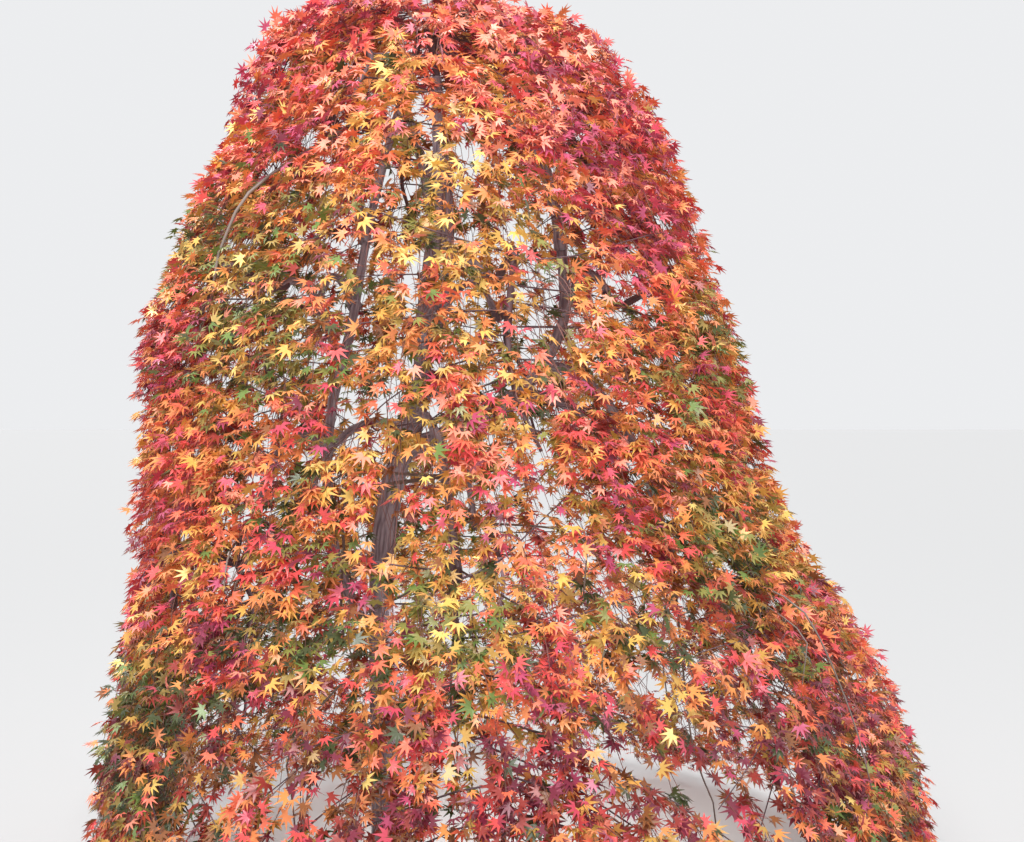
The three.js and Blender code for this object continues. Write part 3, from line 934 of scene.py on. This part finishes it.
def make_bark(name, limb, scene, sides, rings, levels):
    """A limb with the relief of its bark: a disc drawn out ring by ring, made smooth, then furrowed"""
    bpy.ops.object.select_all(action="DESELECT")
    bpy.ops.mesh.primitive_circle_add(vertices=sides, radius=1, fill_type="NGON")
    piece = bpy.context.object
    piece.name = piece.data.name = name
    bpy.ops.object.mode_set(mode="EDIT")
    bpy.ops.mesh.select_all(action="SELECT")
    bpy.ops.transform.edge_crease(value=1)
    for _ in range(rings):
        bpy.ops.mesh.extrude_region_move(TRANSFORM_OT_translate={"value": (0, 0, 0.01)})
    bpy.ops.object.mode_set(mode="OBJECT")

    centres = smooth_points(limb["centres"], rings)
    tangents = unit(np.gradient(centres, axis=0))
    tangents[0] = (0, 0, 1) if name.startswith("trunk") else tangents[0]
    upright = abs(tangents[0, 2]) > 0.6
    towards = np.array((1.0, 0, 0) if upright else (0, 0, 1.0))
    mesh = piece.data
    order = np.argsort([round(v.co.z * 100) for v in mesh.vertices], kind="stable").reshape(rings + 1, sides)
    points, places = np.zeros((2, len(mesh.vertices), 3))
    angles = 2 * math.pi * np.arange(sides) / sides
    alongs = lengths_along(centres)
    for i, (centre, along) in enumerate(zip(centres, alongs)):
        towards = unit(towards - towards @ tangents[i] * tangents[i])
        across = np.cross(tangents[i], towards)
        if limb["foot"]:
            radius = np.full(sides, limb["foot"] + (LIMB_TIP - limb["foot"]) * (along / alongs[-1]))
            radius *= 1 + COLLAR_SHARE * math.exp(-((along / (COLLAR_LENGTH * radius[0])) ** 2))
        else:
            radius = trunk_radius(centre[2], angles)
        over, beside = radius * np.cos(angles), radius * np.sin(angles)
        points[order[i]] = centre + over[:, None] * towards + beside[:, None] * across
        places[order[i]] = np.stack([over, beside, np.full(sides, along)], axis=1)
    mesh.vertices.foreach_set("co", points.ravel())
    attribute = mesh.attributes.new("bark_place", "FLOAT_VECTOR", "POINT")
    attribute.data.foreach_set("vector", places.ravel())
    smooth = piece.modifiers.new("smooth", "SUBSURF")
    smooth.levels = smooth.render_levels = levels
    bpy.ops.object.modifier_apply(modifier="smooth")

    furrow_bark(piece, scene.maple_bark.relief * (1 if name.startswith("trunk") else LIMB_RELIEF_SHARE))
    bpy.ops.object.mode_set(mode="EDIT")
    bpy.ops.mesh.select_all(action="SELECT")
    bpy.ops.mesh.normals_make_consistent(inside=False)
    bpy.ops.object.mode_set(mode="OBJECT")
    bpy.ops.object.shade_smooth()
    piece.data.materials.append(bark_material(scene.maple_bark))
    settle(piece, limb["nodes"])


# The bark's ridges, swellings and burrs: waves to the metre across and along the limb, and a shift of each
# noise. A burr stands where its noise is above a level, and limbs other than the trunk have less relief.
BARK_WAVES = (((110, 110, 11), (0, 0, 0)), ((18, 18, 5), (5, 0, 0)), ((30, 30, 14), (0, 9, 0)))
BURR_LEVEL = 0.42
LIMB_RELIEF_SHARE = 0.5


def furrow_bark(piece, relief):
    """Moves a limb's surface in and out: ridges along the limb, slow swellings and a few burrs"""
    mesh = piece.data
    co, normals, places = np.zeros((3, len(mesh.vertices) * 3))
    mesh.vertices.foreach_get("co", co)
    mesh.vertex_normals.foreach_get("vector", normals)
    mesh.attributes["bark_place"].data.foreach_get("vector", places)
    co, normals, places = (a.reshape(-1, 3) for a in (co, normals, places))
    ridges, swellings, burrs = (
        np.array([noise.noise(Vector(place)) for place in places * waves + shift])
        for waves, shift in BARK_WAVES
    )
    burrs = np.maximum(burrs - BURR_LEVEL, 0)
    heights = relief * (0.55 - 1.5 * abs(ridges) + 1.1 * swellings + 6 * burrs)
    moved = co + normals * heights[:, None]
    moved[co[:, 2] < 1e-4, 2] = 0
    moved[:, 2] = np.maximum(moved[:, 2], 0)
    mesh.vertices.foreach_set("co", moved.ravel())
    mesh.update()


# The two layers of a curtain: how deep the tips of the twigs lie, how deep the shoots hang, and how far apart
# these are against the first layer's
LAYERS = (
    {"twig": 0.085, "hang": (0.012, 0.07), "pitch": 1},
    {"twig": 0.18, "hang": (0.075, 0.16), "pitch": 1.5},
)
STEM_STEPS = 6
TWIG_POINTS = 7
SHOOT_POINTS = 5

# How far the stem reaches back into its limb, and its radius at the tip
STEM_OVERLAP = 0.03
STEM_TIP = 0.005

# Twigs and shoots taper to this share of their radius
TWIG_TAPER = 0.45

# Twigs reach this share of the way to the side of their space, and droop by this share of their reach. The
# depth of their tips plays by so much.
TWIG_REACHES = (0.9, 1.2)
TWIG_DROOPS = (0.14, 0.74)
TWIG_TIP_PLAY = 0.02

# The first rows of twigs below a tier's top climb under the tier above, each less than the one before, and
# those of the skirt droop more, row by row
CLIMBING_ROWS = 5
CLIMB = 0.75
SKIRT_DROOP = 0.6

# Twigs end at least this far above the hem, so that shoots still hang from their tips
TWIG_CLEARANCE = 0.15

# Shoots fall by this share of the longest fall. They end so far above the hem, or so far below the low end of
# a higher tier, and those shorter than the shortest fall are left out.
SHOOT_FALLS = (0.55, 1)
HEM_CLEARANCES = (0.03, 0.12)
TIER_OVERLAPS = (0.1, 0.4)
SHORTEST_FALL = 0.05

# Extra shoots cover the top of each crest mass
CREST_SHOOTS = 14
CREST_SHOOT_DEPTH = 0.12

# Leaves of one spray share their luck: its size across, deep and high
SPRAY_SIZE = (0.075, 0.075, 0.05)

# Leaves deeper in the curtain than this sit on the shoot itself
SHADE_DEPTH = 0.08

# How far the leaves of every second pair, and those of the pairs between, turn from straight out, with the
# play of each
PAIR_TURNS = ((1.35, 0.25), (0.5, 0.3))

# The play of a leaf's size and of its stalk's length, and how much smaller leaves are at a shoot's tip and at
# the ground
LEAF_SIZES = (0.72, 1.18)
STALK_LENGTHS = (0.5, 1.7)
SMALLER_AT_TIP = 0.28
SMALLER_LOW = 0.16

# How far the leaves have turned on average, from 0 to 1, and how much that plays by clouds (their size, seed
# and weight), by spray, by leaf, along a shoot and with the depth
TURNED = 0.565
TURNED_CLOUDS = ((0.34, 1, 0.15), (0.1, 2, 0.14))
TURNED_BY_SPRAY = 0.44
TURNED_BY_LEAF = 0.08
TURNED_ALONG = 0.12
TURNED_BY_DEPTH = 1.1

# The share of sprays that have turned further still, and how far
EARLY_SPRAYS = 0.22
EARLY_SHIFT = 0.14

# The shares of leaves that share their spray's luck, for green leaves, and for darker leaves (dull and
# painted shade) and pale ones (painted highlight)
GREEN_BY_SPRAY = 0.85
DULL_SHADE_AND_HIGHLIGHT_BY_SPRAY = 0.7

# The shares of dull and of pale leaves everywhere, the pale ones being painted highlight, and how the darker
# ones gain with depth and low down, which is painted shade
DULL_SHARE = 0.03
PAINTED_HIGHLIGHT_SHARE = 0.01
PAINTED_SHADE_BY_DEPTH = 2.2
PAINTED_SHADE_LOW = 0.2

# Leaves deeper than this never take the pale tints of painted highlight
PAINTED_HIGHLIGHT_DEPTH = 0.09

# Shoots are left out in clouds of this size where their noise is above a level, lower towards the ground
THIN_SIZE = 0.16
THIN_LEVEL = 0.75
THIN_LOW = 0.25

# How far every leaf and shoot keeps inside the box of the solids
BOX_MARGIN = 0.002


def grow_stem(crown, space, limbs):
    """The stem of a mass, which goes on from its limb's tip as in the source: its first points in space, its
    places in the curtain, and its number of rows of sprays"""
    random = random_from(SEED + space["seed_index"] * MASS_SEED_STEP)
    spray = SPRAY_LENGTH * space["leaf_scale"] * SPRAY_HANG
    fall = space["low_run"] - space["enter_run"] - spray
    rows = max(2, int(fall / (SPRAY_ROW_PITCH * space["leaf_scale"]) + 0.5))
    first_run = space["enter_run"] + ENTER
    last_run = space["low_run"] - spray
    places = []
    for i in range(rows + 1):
        run = first_run + (last_run - first_run) * i / rows
        middle = (side_angle(space, 0, run) + side_angle(space, 1, run)) / 2
        sway = (next(random) - 0.5) * STEM_SWAY / max(float(crown.profile(run)[0]), 0.3)
        places.append((middle + sway, run, STEM_DEPTH + STEM_DEPTH_PLAY * next(random)))
    centres = limbs[space["limb"]]["centres"]
    way = unit(centres[-1] - centres[-2])
    start = np.array([centres[-1] - STEM_OVERLAP * way, centres[-1] + STEM_OVERLAP * way])
    return start, np.array(places), rows


def grow_twigs(crown, space, stem, rows, rng, shoots):
    """Rows of side twigs that arch away from the stem round the crown and droop: their places in the curtain,
    the layer that each belongs to, and its reach"""
    paths, layers, reaches = [], [], []
    count = rows * shoots.rows
    t = np.linspace(0, 1, TWIG_POINTS)
    for row in range(count):
        layer = row % len(LAYERS)
        for side in (-1, 1):
            u = (row + 0.3 + 0.15 * side * (1 if row % 4 < 2 else -1)) * rows / count
            i = min(int(u), rows - 1)
            angle, run, depth = stem[i] + (stem[i + 1] - stem[i]) * (u - i)
            r = max(float(crown.profile(run)[0]), 0.26)
            edge = side_angle(space, (side + 1) // 2, run) - side * 0.02 / r
            reach = abs(edge - angle) * r * rng.uniform(*TWIG_REACHES)
            droop = rng.uniform(*TWIG_DROOPS)
            if space["tier"] != "crest":
                droop -= CLIMB * max(0, 1 - row / CLIMBING_ROWS)
            if space["tier"] == "skirt":
                droop += SKIRT_DROOP * row / count
            fall = min(reach * droop, crown.length - TWIG_CLEARANCE - run)
            tip = LAYERS[layer]["twig"] + rng.uniform(-TWIG_TIP_PLAY, TWIG_TIP_PLAY)
            wave = 0.012 * np.sin(rng.uniform(0, 6.3) + t * rng.uniform(4, 8)) * t
            arch = run + fall * (0.25 * t + 0.75 * t**2) + wave
            paths.append(np.stack([angle + side * reach / r * t, arch, depth + (tip - depth) * t], axis=1))
            layers.append(layer)
            reaches.append(reach)
    return np.array(paths), layers, reaches


def hang_shoots(crown, space, twigs, layers, reaches, rng, shoots):
    """Shoots that hang from the twigs down the curtain: their places, with one path to a row"""
    t = np.linspace(0, 1, SHOOT_POINTS)
    paths = []
    scale = space["leaf_scale"]
    hem = space["low_run"] >= crown.length - 1e-6
    for twig, layer, reach in zip(twigs, layers, reaches):
        pitch = shoots.pitch * space["pitch_scale"] * LAYERS[layer]["pitch"]
        count = max(2, int(reach / pitch + 0.5))
        side = 1 if twig[-1, 0] > twig[0, 0] else -1
        for i in range(count):
            share = (i + rng.uniform(0.2, 1)) / count * (TWIG_POINTS - 1)
            k = min(int(share), TWIG_POINTS - 2)
            angle, run, depth = twig[k] + (twig[k + 1] - twig[k]) * (share - k)
            if hem:
                low = crown.length - rng.uniform(*HEM_CLEARANCES)
            else:
                low = space["low_run"] + rng.uniform(*TIER_OVERLAPS)
            fall = min(shoots.fall * (0.5 + 0.5 * scale) * rng.uniform(*SHOOT_FALLS), low - run)
            if fall < SHORTEST_FALL:
                continue
            r = max(float(crown.profile(run)[0]), 0.2)
            drift = side * rng.uniform(0, 0.05) + rng.uniform(-0.08, 0.08)
            drift = (drift - math.sin(2 * angle) * rng.uniform(0, 0.12)) / r
            outer, inner = LAYERS[layer]["hang"]
            target = rng.uniform(outer, inner)
            out = 1 - np.exp(-3.2 * t)
            sway = 0.03 * np.sin(rng.uniform(0, 6.3) + rng.uniform(3, 7) * t) * t / r
            deep = depth + (target - depth) * out / out[-1]
            paths.append(np.stack([angle + drift * out + sway, run + fall * t**1.15, deep], axis=1))
    if space["tier"] == "crest":
        for _ in range(CREST_SHOOTS):
            angle = space["centre"] + space["width"] * rng.uniform(-0.5, 0.5)
            start = rng.uniform(0.07, 0.14)
            run = start - (start - rng.uniform(0.0, 0.04)) * t
            deep = np.full(SHOOT_POINTS, CREST_SHOOT_DEPTH)
            paths.append(np.stack([np.full(SHOOT_POINTS, angle), run, deep], axis=1))
    paths = np.array(paths)
    return paths[inside_box(crown.at(paths))]


def leaf_outline():
    """Corners and faces of a seven-lobed leaf of length 1, its stalk's end at the origin and its middle lobe
    along +Y. Each lobe is folded along its rib and droops at its tip."""
    lobes = ((0, 1.0), (37, 0.95), (76, 0.82), (124, 0.5))
    rays = sorted({(sign * angle, long) for angle, long in lobes for sign in (-1, 1)})
    notch, fold, droop = 0.35, 0.05, 0.2
    corners = [(0, 0, 0)]
    for i, (angle, long) in enumerate(rays):
        a = math.radians(angle)
        corners.append((long * math.sin(a), long * math.cos(a), -droop * long**2))
        if i + 1 < len(rays):
            b = math.radians((angle + rays[i + 1][0]) / 2)
            corners.append((notch * math.sin(b), notch * math.cos(b), fold))
    faces = [(0, k + 1, k) for k in range(1, len(corners) - 1)]
    return np.array(corners), np.array(faces)


def set_leaves(crown, space, paths, rng, leaves):
    """Pairs of leaves along the shoots: foot of the stalk, foot, length, face and tip direction of the blade,
    its share of the way along its shoot, its depth in the curtain and the number of the shoot"""
    scale = 0.5 + 0.5 * min(space["leaf_scale"] + 0.1, 1)
    cartesian = crown.at(paths)
    lengths = np.linalg.norm(np.diff(cartesian, axis=1), axis=2).sum(axis=1)
    shoot, share, pair = [], [], []
    for i, length in enumerate(lengths):
        count = max(2, int(length / leaves.pitch))
        shares = (np.arange(count) + 0.75) / count
        shoot.append(np.full(2 * count, i))
        share.append(np.repeat(shares, 2))
        pair.append(np.arange(2 * count))
    shoot, share, pair = (np.concatenate(a) for a in (shoot, share, pair))
    where = np.clip(share + rng.normal(0, 0.03, len(share)), 0, 1) * (SHOOT_POINTS - 1)
    k = np.minimum(where.astype(int), SHOOT_POINTS - 2)
    w = (where - k)[:, None]
    place = paths[shoot, k] * (1 - w) + paths[shoot, k + 1] * w
    foot = cartesian[shoot, k] * (1 - w) + cartesian[shoot, k + 1] * w
    outward, down, across = crown.ways_at(place[:, 0], place[:, 1], place[:, 2])
    hang = unit(down + np.array((0, 0, -0.5)))
    count = len(foot)
    side = np.where(pair % 2 == 0, 1, -1)
    wide, narrow = (rng.normal(*turn, count) for turn in PAIR_TURNS)
    spread = np.where((pair // 2) % 2 == 0, wide, narrow) * side
    turn = np.cos(spread)[:, None] * outward + np.sin(spread)[:, None] * across
    stalk_way = unit(turn * 0.9 + hang * rng.uniform(0.15, 0.7, (count, 1)))
    size = scale * rng.uniform(*LEAF_SIZES, count) * (1.05 - SMALLER_AT_TIP * share)
    size *= 1 - SMALLER_LOW * np.clip(1 - foot[:, 2], 0, 1)
    stalk = leaves.stalk * size * rng.uniform(*STALK_LENGTHS, count) * (place[:, 2] < SHADE_DEPTH)
    blade_foot = foot + stalk_way * stalk[:, None]
    tip = unit(
        turn * rng.uniform(0.7, 1.4, (count, 1))
        + hang * rng.uniform(0, 0.7, (count, 1))
        + rng.normal(0, 0.28, (count, 3))
    )
    off_level = np.clip(np.abs(foot[:, 2:] - EYE[2]) / 1.3, 0, 1)
    level = unit(outward * (1, 1, 0.2))
    face = (0.55 + 0.4 * off_level) * level + (1 - 0.3 * off_level) * np.array((0, 0, 1.0))
    face += 0.25 * turn + rng.normal(0, 0.4, (count, 3))
    face = unit(face - (face * tip).sum(axis=1, keepdims=True) * tip)
    return {
        "foot": foot,
        "blade": blade_foot,
        "tip": tip,
        "face": face,
        "length": leaves.length * size,
        "share": share,
        "depth": place[:, 2],
        "shoot": shoot,
    }


def patch_share(across, down, patches):
    """The sum of soft-edged patches at places in the photograph"""
    total = np.zeros(len(across))
    for x, y, wide, high, share in patches:
        total += share * np.exp(-(((across - x) / wide) ** 2) - ((down - y) / high) ** 2)
    return total


def spray_luck(points, seed):
    """A number from 0 to 1 for each point, the same for all that are in one spray"""
    return luck_of(np.floor(points / SPRAY_SIZE + seed * 0.37), seed)


def shared_luck(points, seed, share, rng):
    """A number from 0 to 1 for each point: its spray's for a share of them, and its own for the others"""
    return np.where(rng.random(len(points)) < share, spray_luck(points, seed), rng.random(len(points)))


def tints_of(found, shoot_points, rng):
    """The tint of each leaf, dealt out by spray from how far the leaves there have turned, and how many take
    darker tints, for drab tones and painted shade, and pale ones, for painted highlight"""
    feet = found["foot"]
    places = feet * (1, 0, 1) - np.abs(feet) * (0, 1, 0)
    across, down = photo_place(places)
    shoot, depth = found["shoot"], found["depth"]
    clouds = (weight * cloudiness(shoot_points, size, seed) for size, seed, weight in TURNED_CLOUDS)
    leaf = (TURNED + sum(clouds))[shoot] + TURNED_BY_SPRAY * (spray_luck(feet, 1) - 0.5)
    leaf += patch_share(across, down, [(x, y, reach, reach, shift) for x, y, reach, shift in TURNED_PATCHES])
    leaf += EARLY_SHIFT * (spray_luck(feet, 4) > 1 - EARLY_SPRAYS)
    leaf += TURNED_ALONG * (found["share"] - 0.5) + TURNED_BY_DEPTH * (0.05 - np.clip(depth, 0, 0.17))
    leaf += rng.normal(0, TURNED_BY_LEAF, len(leaf))
    tint = np.clip((leaf * len(ROW_OF_TINTS)).astype(int), 0, len(ROW_OF_TINTS) - 1)

    unturned = shared_luck(feet, 3, GREEN_BY_SPRAY, rng)
    unturned = unturned < patch_share(across, down, GREEN_PATCHES) * np.clip(1.2 - 4 * depth, 0.4, 1)
    tint[unturned] = rng.integers(0, 3, unturned.sum())

    lucky = shared_luck(feet, 2, DULL_SHADE_AND_HIGHLIGHT_BY_SPRAY, rng)
    # Painted shade: besides a few leaves with their own dull tones everywhere, more leaves take darker tints
    # in patches, deeper in the curtain and low down
    dull_and_shade = DULL_SHARE + patch_share(across, down, DULL_AND_SHADE_PATCHES)
    dull_and_shade += PAINTED_SHADE_BY_DEPTH * np.clip(depth - 0.06, 0, 0.2)
    dull_and_shade += PAINTED_SHADE_LOW * np.clip(1 - feet[:, 2], 0, 1)
    # Painted highlight: a few outer leaves everywhere, and more in patches, take pale tints
    pale = PAINTED_HIGHLIGHT_SHARE + patch_share(across, down, PAINTED_HIGHLIGHT_PATCHES)
    pale[depth > PAINTED_HIGHLIGHT_DEPTH] = 0
    number = ALL_TINTS.index
    # Darker copies of the tints, for dull leaves and painted shade
    shades = [number(name) for name in ("moss", "sienna", "brick")]
    shaded = np.select([tint < 4, tint < 6, tint < 8], shades, number("maroon"))
    # Lighter copies of the tints, for painted highlight
    highlight_tint = np.where(tint < 6, number("straw"), number("coral"))
    # Painted shade low down: below a ragged height amber leaves take the darker ochre, and only above it do
    # some ochre leaves take the lighter gold
    low = feet[:, 2] < 0.55 + 0.6 * spray_luck(feet, 5)
    tint[(tint == number("ochre")) & (lucky > 0.55) & ~low] = number("gold")
    tint[(tint == number("amber")) & low] = number("ochre")
    return np.select([lucky < dull_and_shade, lucky > 1 - pale], [shaded, highlight_tint], tint)


def inside_box(points):
    """Which rows of points lie wholly inside the box of the solids"""
    low, high = np.array(CAD_BOX[0]) + BOX_MARGIN, np.array(CAD_BOX[1]) - BOX_MARGIN
    return ((points > low) & (points < high)).all(axis=(1, 2))


def make_mass(crown, space, limbs, scene):
    """One mass of foliage: its twigs, its leaf stalks and its leaves, each kind as one piece"""
    rng = np.random.default_rng(SEED + space["seed_index"])
    shoots, leaves = scene.maple_shoots, scene.maple_leaves
    start, stem, rows = grow_stem(crown, space, limbs)
    twigs, layers, reaches = grow_twigs(crown, space, stem, rows, rng, shoots)
    paths = hang_shoots(crown, space, twigs, layers, reaches, rng, shoots)

    middle = crown.at(paths[:, SHOOT_POINTS // 2])
    low = np.clip((1.25 - middle[:, 2]) / 1.2, 0, 1) * np.clip(0.6 - middle[:, 1], 0, 1)
    thin = cloudiness(middle, THIN_SIZE, 5) > THIN_LEVEL - THIN_LOW * low
    paths, middle = paths[~thin], middle[~thin]

    found = set_leaves(crown, space, paths, rng, leaves)
    tint = tints_of(found, middle, rng)
    side = np.cross(found["tip"], found["face"])
    corners, faces = leaf_outline()
    points = found["blade"][:, None, :] + found["length"][:, None, None] * (
        corners[None, :, :1] * side[:, None, :]
        + corners[None, :, 1:2] * found["tip"][:, None, :]
        + corners[None, :, 2:] * found["face"][:, None, :]
    )
    centre = points.mean(axis=1)
    front = centre[:, 1] < 0.1
    keep = inside_box(points) & ~left_out(centre, SKY_GAPS, rng)
    keep &= ~(front & left_out(centre, LIMB_GAPS, rng)) & ~glints(centre)
    points, tint = points[keep], tint[keep]
    count = len(points)
    groups = [(faces[None] + np.arange(count)[:, None, None] * len(corners)).reshape(-1, 3)]
    slots = np.repeat(tint, len(faces))
    piece = new_piece(f"{space['name']}_leaves", points.reshape(-1, 3), groups, leaf_materials(scene), slots)
    settle(piece, (space["name"],))

    finish = scene.maple_bark
    twig_material = plain_material("maple_twig", finish.twig, roughness=0.7)
    shoot_material = plain_material("maple_shoot", finish.shoot, roughness=0.6)
    keep &= found["depth"] < SHADE_DEPTH
    stalk_feet, stalk_ends = found["foot"][keep], found["blade"][keep]
    points, faces = spikes(stalk_feet, stalk_ends, leaves.stalk_radius, found["face"][keep])
    piece = new_piece(f"{space['name']}_stalks", points, [faces], [shoot_material])
    settle(piece, (space["name"],))

    stem_points = np.concatenate([start, crown.at(stem)])
    stem_path = smooth_points(stem_points, rows * STEM_STEPS)[None]
    stem_radii = np.linspace(LIMB_TIP, STEM_TIP, stem_path.shape[1])[None]
    outward = np.array([[math.cos(space["centre"]), math.sin(space["centre"]), 0.3]])
    parts = [tubes(stem_path, stem_radii, 8, outward)]
    for places, radius, sides in ((twigs, shoots.twig_radius, 5), (paths, shoots.shoot_radius, 3)):
        radii = radius * np.linspace(1, TWIG_TAPER, places.shape[1])[None].repeat(len(places), axis=0)
        parts.append(tubes(crown.at(places), radii, sides, crown.ways_at(*places[:, 0].T)[0]))
    points, groups = joined(parts)
    slots = np.concatenate([np.full(len(group), 0 if i < 4 else 1) for i, group in enumerate(groups)])
    piece = new_piece(f"{space['name']}_twigs", points, groups, [twig_material, shoot_material], slots)
    settle(piece, (space["name"],))
    return count


class MAPLE_OT_trunk(bpy.types.Operator):
    """Grows the trunk with its root flare and bark"""

    bl_idname = "maple.trunk"
    bl_label = "Trunk"

    def execute(self, context):
        limbs, _ = lay_out_limbs(Crown(context.scene.maple_shoots))
        make_bark("trunk_bark", limbs["trunk"], context.scene, sides=12, rings=18, levels=3)
        return {"FINISHED"}


class MAPLE_OT_leaders(bpy.types.Operator):
    """Grows the leaders that rise from the trunk to the crest"""

    bl_idname = "maple.leaders"
    bl_label = "Leaders"

    def execute(self, context):
        limbs, _ = lay_out_limbs(Crown(context.scene.maple_shoots))
        for leader in LEADERS:
            limb = limbs[leader["name"]]
            make_bark(f"{leader['name']}_bark", limb, context.scene, sides=8, rings=18, levels=2)
        return {"FINISHED"}


class MAPLE_OT_boughs(bpy.types.Operator):
    """Grows the arching boughs of every tier"""

    bl_idname = "maple.boughs"
    bl_label = "Boughs"

    def execute(self, context):
        limbs, _ = lay_out_limbs(Crown(context.scene.maple_shoots))
        for name, limb in limbs.items():
            if "bough" in name:
                make_bark(f"{name}_bark", limb, context.scene, sides=6, rings=8, levels=2)
        return {"FINISHED"}


class MAPLE_OT_bare_branches(bpy.types.Operator):
    """Grows the branches that hang bare in front, each from the nearest limb"""

    bl_idname = "maple.bare_branches"
    bl_label = "Bare branches"

    def execute(self, context):
        limbs, _ = lay_out_limbs(Crown(context.scene.maple_shoots))
        centres = np.concatenate([limb["centres"] for limb in limbs.values()])
        paths, radii = [], []
        for front, radius, way in BARE_BRANCHES:
            away = -EYE[1] - front
            points = [
                (
                    EYE[0] + (x - PHOTO_SIZE[0] / 2) * away / PHOTO_FOCAL,
                    EYE[1] + away,
                    EYE[2] - (y - PHOTO_SIZE[1] / 2) * away / PHOTO_FOCAL,
                )
                for x, y in way
            ]
            rise = np.maximum(points[0][2] - centres[:, 2], 0)
            far = np.linalg.norm(centres - points[0], axis=1) + 2 * rise
            paths.append(smooth_points([centres[np.argmin(far)], *points], 14))
            radii.append(np.linspace(radius, radius * 0.5, 15))
        towards = np.tile((1.0, 0.2, 0), (len(paths), 1))
        points, groups = joined([tubes(np.array(paths), np.array(radii), 6, towards)])
        material = plain_material("maple_branch", context.scene.maple_bark.branch, roughness=0.6)
        piece = new_piece("bare_branches", points, groups, [material])
        settle(piece, ())
        return {"FINISHED"}


class MAPLE_OT_foliage(bpy.types.Operator):
    """Grows the twigs, stalks and leaves of one tier"""

    bl_idname = "maple.foliage"
    bl_label = "Foliage"

    tier: EnumProperty(
        name="Tier",
        description="Tier of masses to grow",
        items=[(name, name.title(), f"The {name} masses") for name in TIER_NAMES],
    )

    def execute(self, context):
        crown = Crown(context.scene.maple_shoots)
        limbs, spaces = lay_out_limbs(crown)
        count = 0
        for space in spaces:
            if space["tier"] == self.tier:
                count += make_mass(crown, space, limbs, context.scene)
        print(self.tier, count, "leaves")
        return {"FINISHED"}


class MAPLE_OT_stage(bpy.types.Operator):
    """Lays the floor and sets the light and the camera"""

    bl_idname = "maple.stage"
    bl_label = "Stage"

    def execute(self, context):
        stage = context.scene.maple_stage
        bpy.ops.object.select_all(action="DESELECT")
        bpy.ops.mesh.primitive_plane_add(size=stage.floor_size)
        floor = context.object
        floor.name = "floor"
        floor.data.materials.append(plain_material("pale_floor", stage.floor, roughness=0.9))

        world = bpy.data.worlds.new("pale_sky")
        world.use_nodes = True
        background = world.node_tree.nodes["Background"]
        background.inputs["Color"].default_value = (*stage.sky, 1)
        background.inputs["Strength"].default_value = stage.sky_strength
        context.scene.world = world

        for name, (kind, place, side, strength, width, spread) in LIGHTS.items():
            bpy.ops.object.light_add(type=kind, location=place)
            light = context.object
            light.name = name
            light.rotation_euler = Vector(side).to_track_quat("Z", "Y").to_euler()
            light.data.energy = getattr(stage, strength)
            if kind == "SUN":
                light.data.angle = width
                continue
            light.data.shape = "DISK"
            light.data.size = width
            light.data.spread = spread
            light.visible_camera = False

        bpy.ops.object.camera_add(location=EYE, rotation=(math.pi / 2, 0, 0))
        camera = context.object
        camera.name = "photo_camera"
        camera.data.sensor_width = SENSOR_WIDTH
        camera.data.lens = SENSOR_WIDTH * PHOTO_FOCAL / PHOTO_SIZE[0]
        context.scene.camera = camera
        context.scene.view_settings.view_transform = "Standard"
        return {"FINISHED"}


class MAPLE_PT_tree(bpy.types.Panel):
    """Sizes, colours and steps of the weeping maple"""

    bl_label = "Weeping maple"
    bl_idname = "MAPLE_PT_tree"
    bl_space_type = "VIEW_3D"
    bl_region_type = "UI"
    bl_category = "Maple"

    def draw(self, context):
        for name in GROUPS:
            settings = getattr(context.scene, name)
            box = self.layout.box()
            box.label(text=name.replace("_", " ").title())
            for key in settings.bl_rna.properties.keys():
                if key not in ("rna_type", "name"):
                    box.prop(settings, key)
        for step in ("trunk", "leaders", "boughs", "bare_branches", "foliage", "stage"):
            self.layout.operator(f"maple.{step}")


GROUPS = {
    "maple_bark": MapleBark,
    "maple_shoots": MapleShoots,
    "maple_leaves": MapleLeaves,
    "maple_tints": MapleTints,
    "maple_stage": MapleStage,
}
CLASSES = (
    *GROUPS.values(),
    MAPLE_OT_trunk,
    MAPLE_OT_leaders,
    MAPLE_OT_boughs,
    MAPLE_OT_bare_branches,
    MAPLE_OT_foliage,
    MAPLE_OT_stage,
    MAPLE_PT_tree,
)


def register():
    for kind in CLASSES:
        bpy.utils.register_class(kind)
    for name, kind in GROUPS.items():
        setattr(bpy.types.Scene, name, PointerProperty(type=kind))


def unregister():
    for name in GROUPS:
        delattr(bpy.types.Scene, name)
    for kind in reversed(CLASSES):
        bpy.utils.unregister_class(kind)


def main():
    register()
    bpy.ops.maple.stage()
    bpy.ops.maple.trunk()
    bpy.ops.maple.leaders()
    bpy.ops.maple.boughs()
    bpy.ops.maple.bare_branches()
    for tier in TIER_NAMES:
        bpy.ops.maple.foliage(tier=tier)


if __name__ == "__main__":
    main()
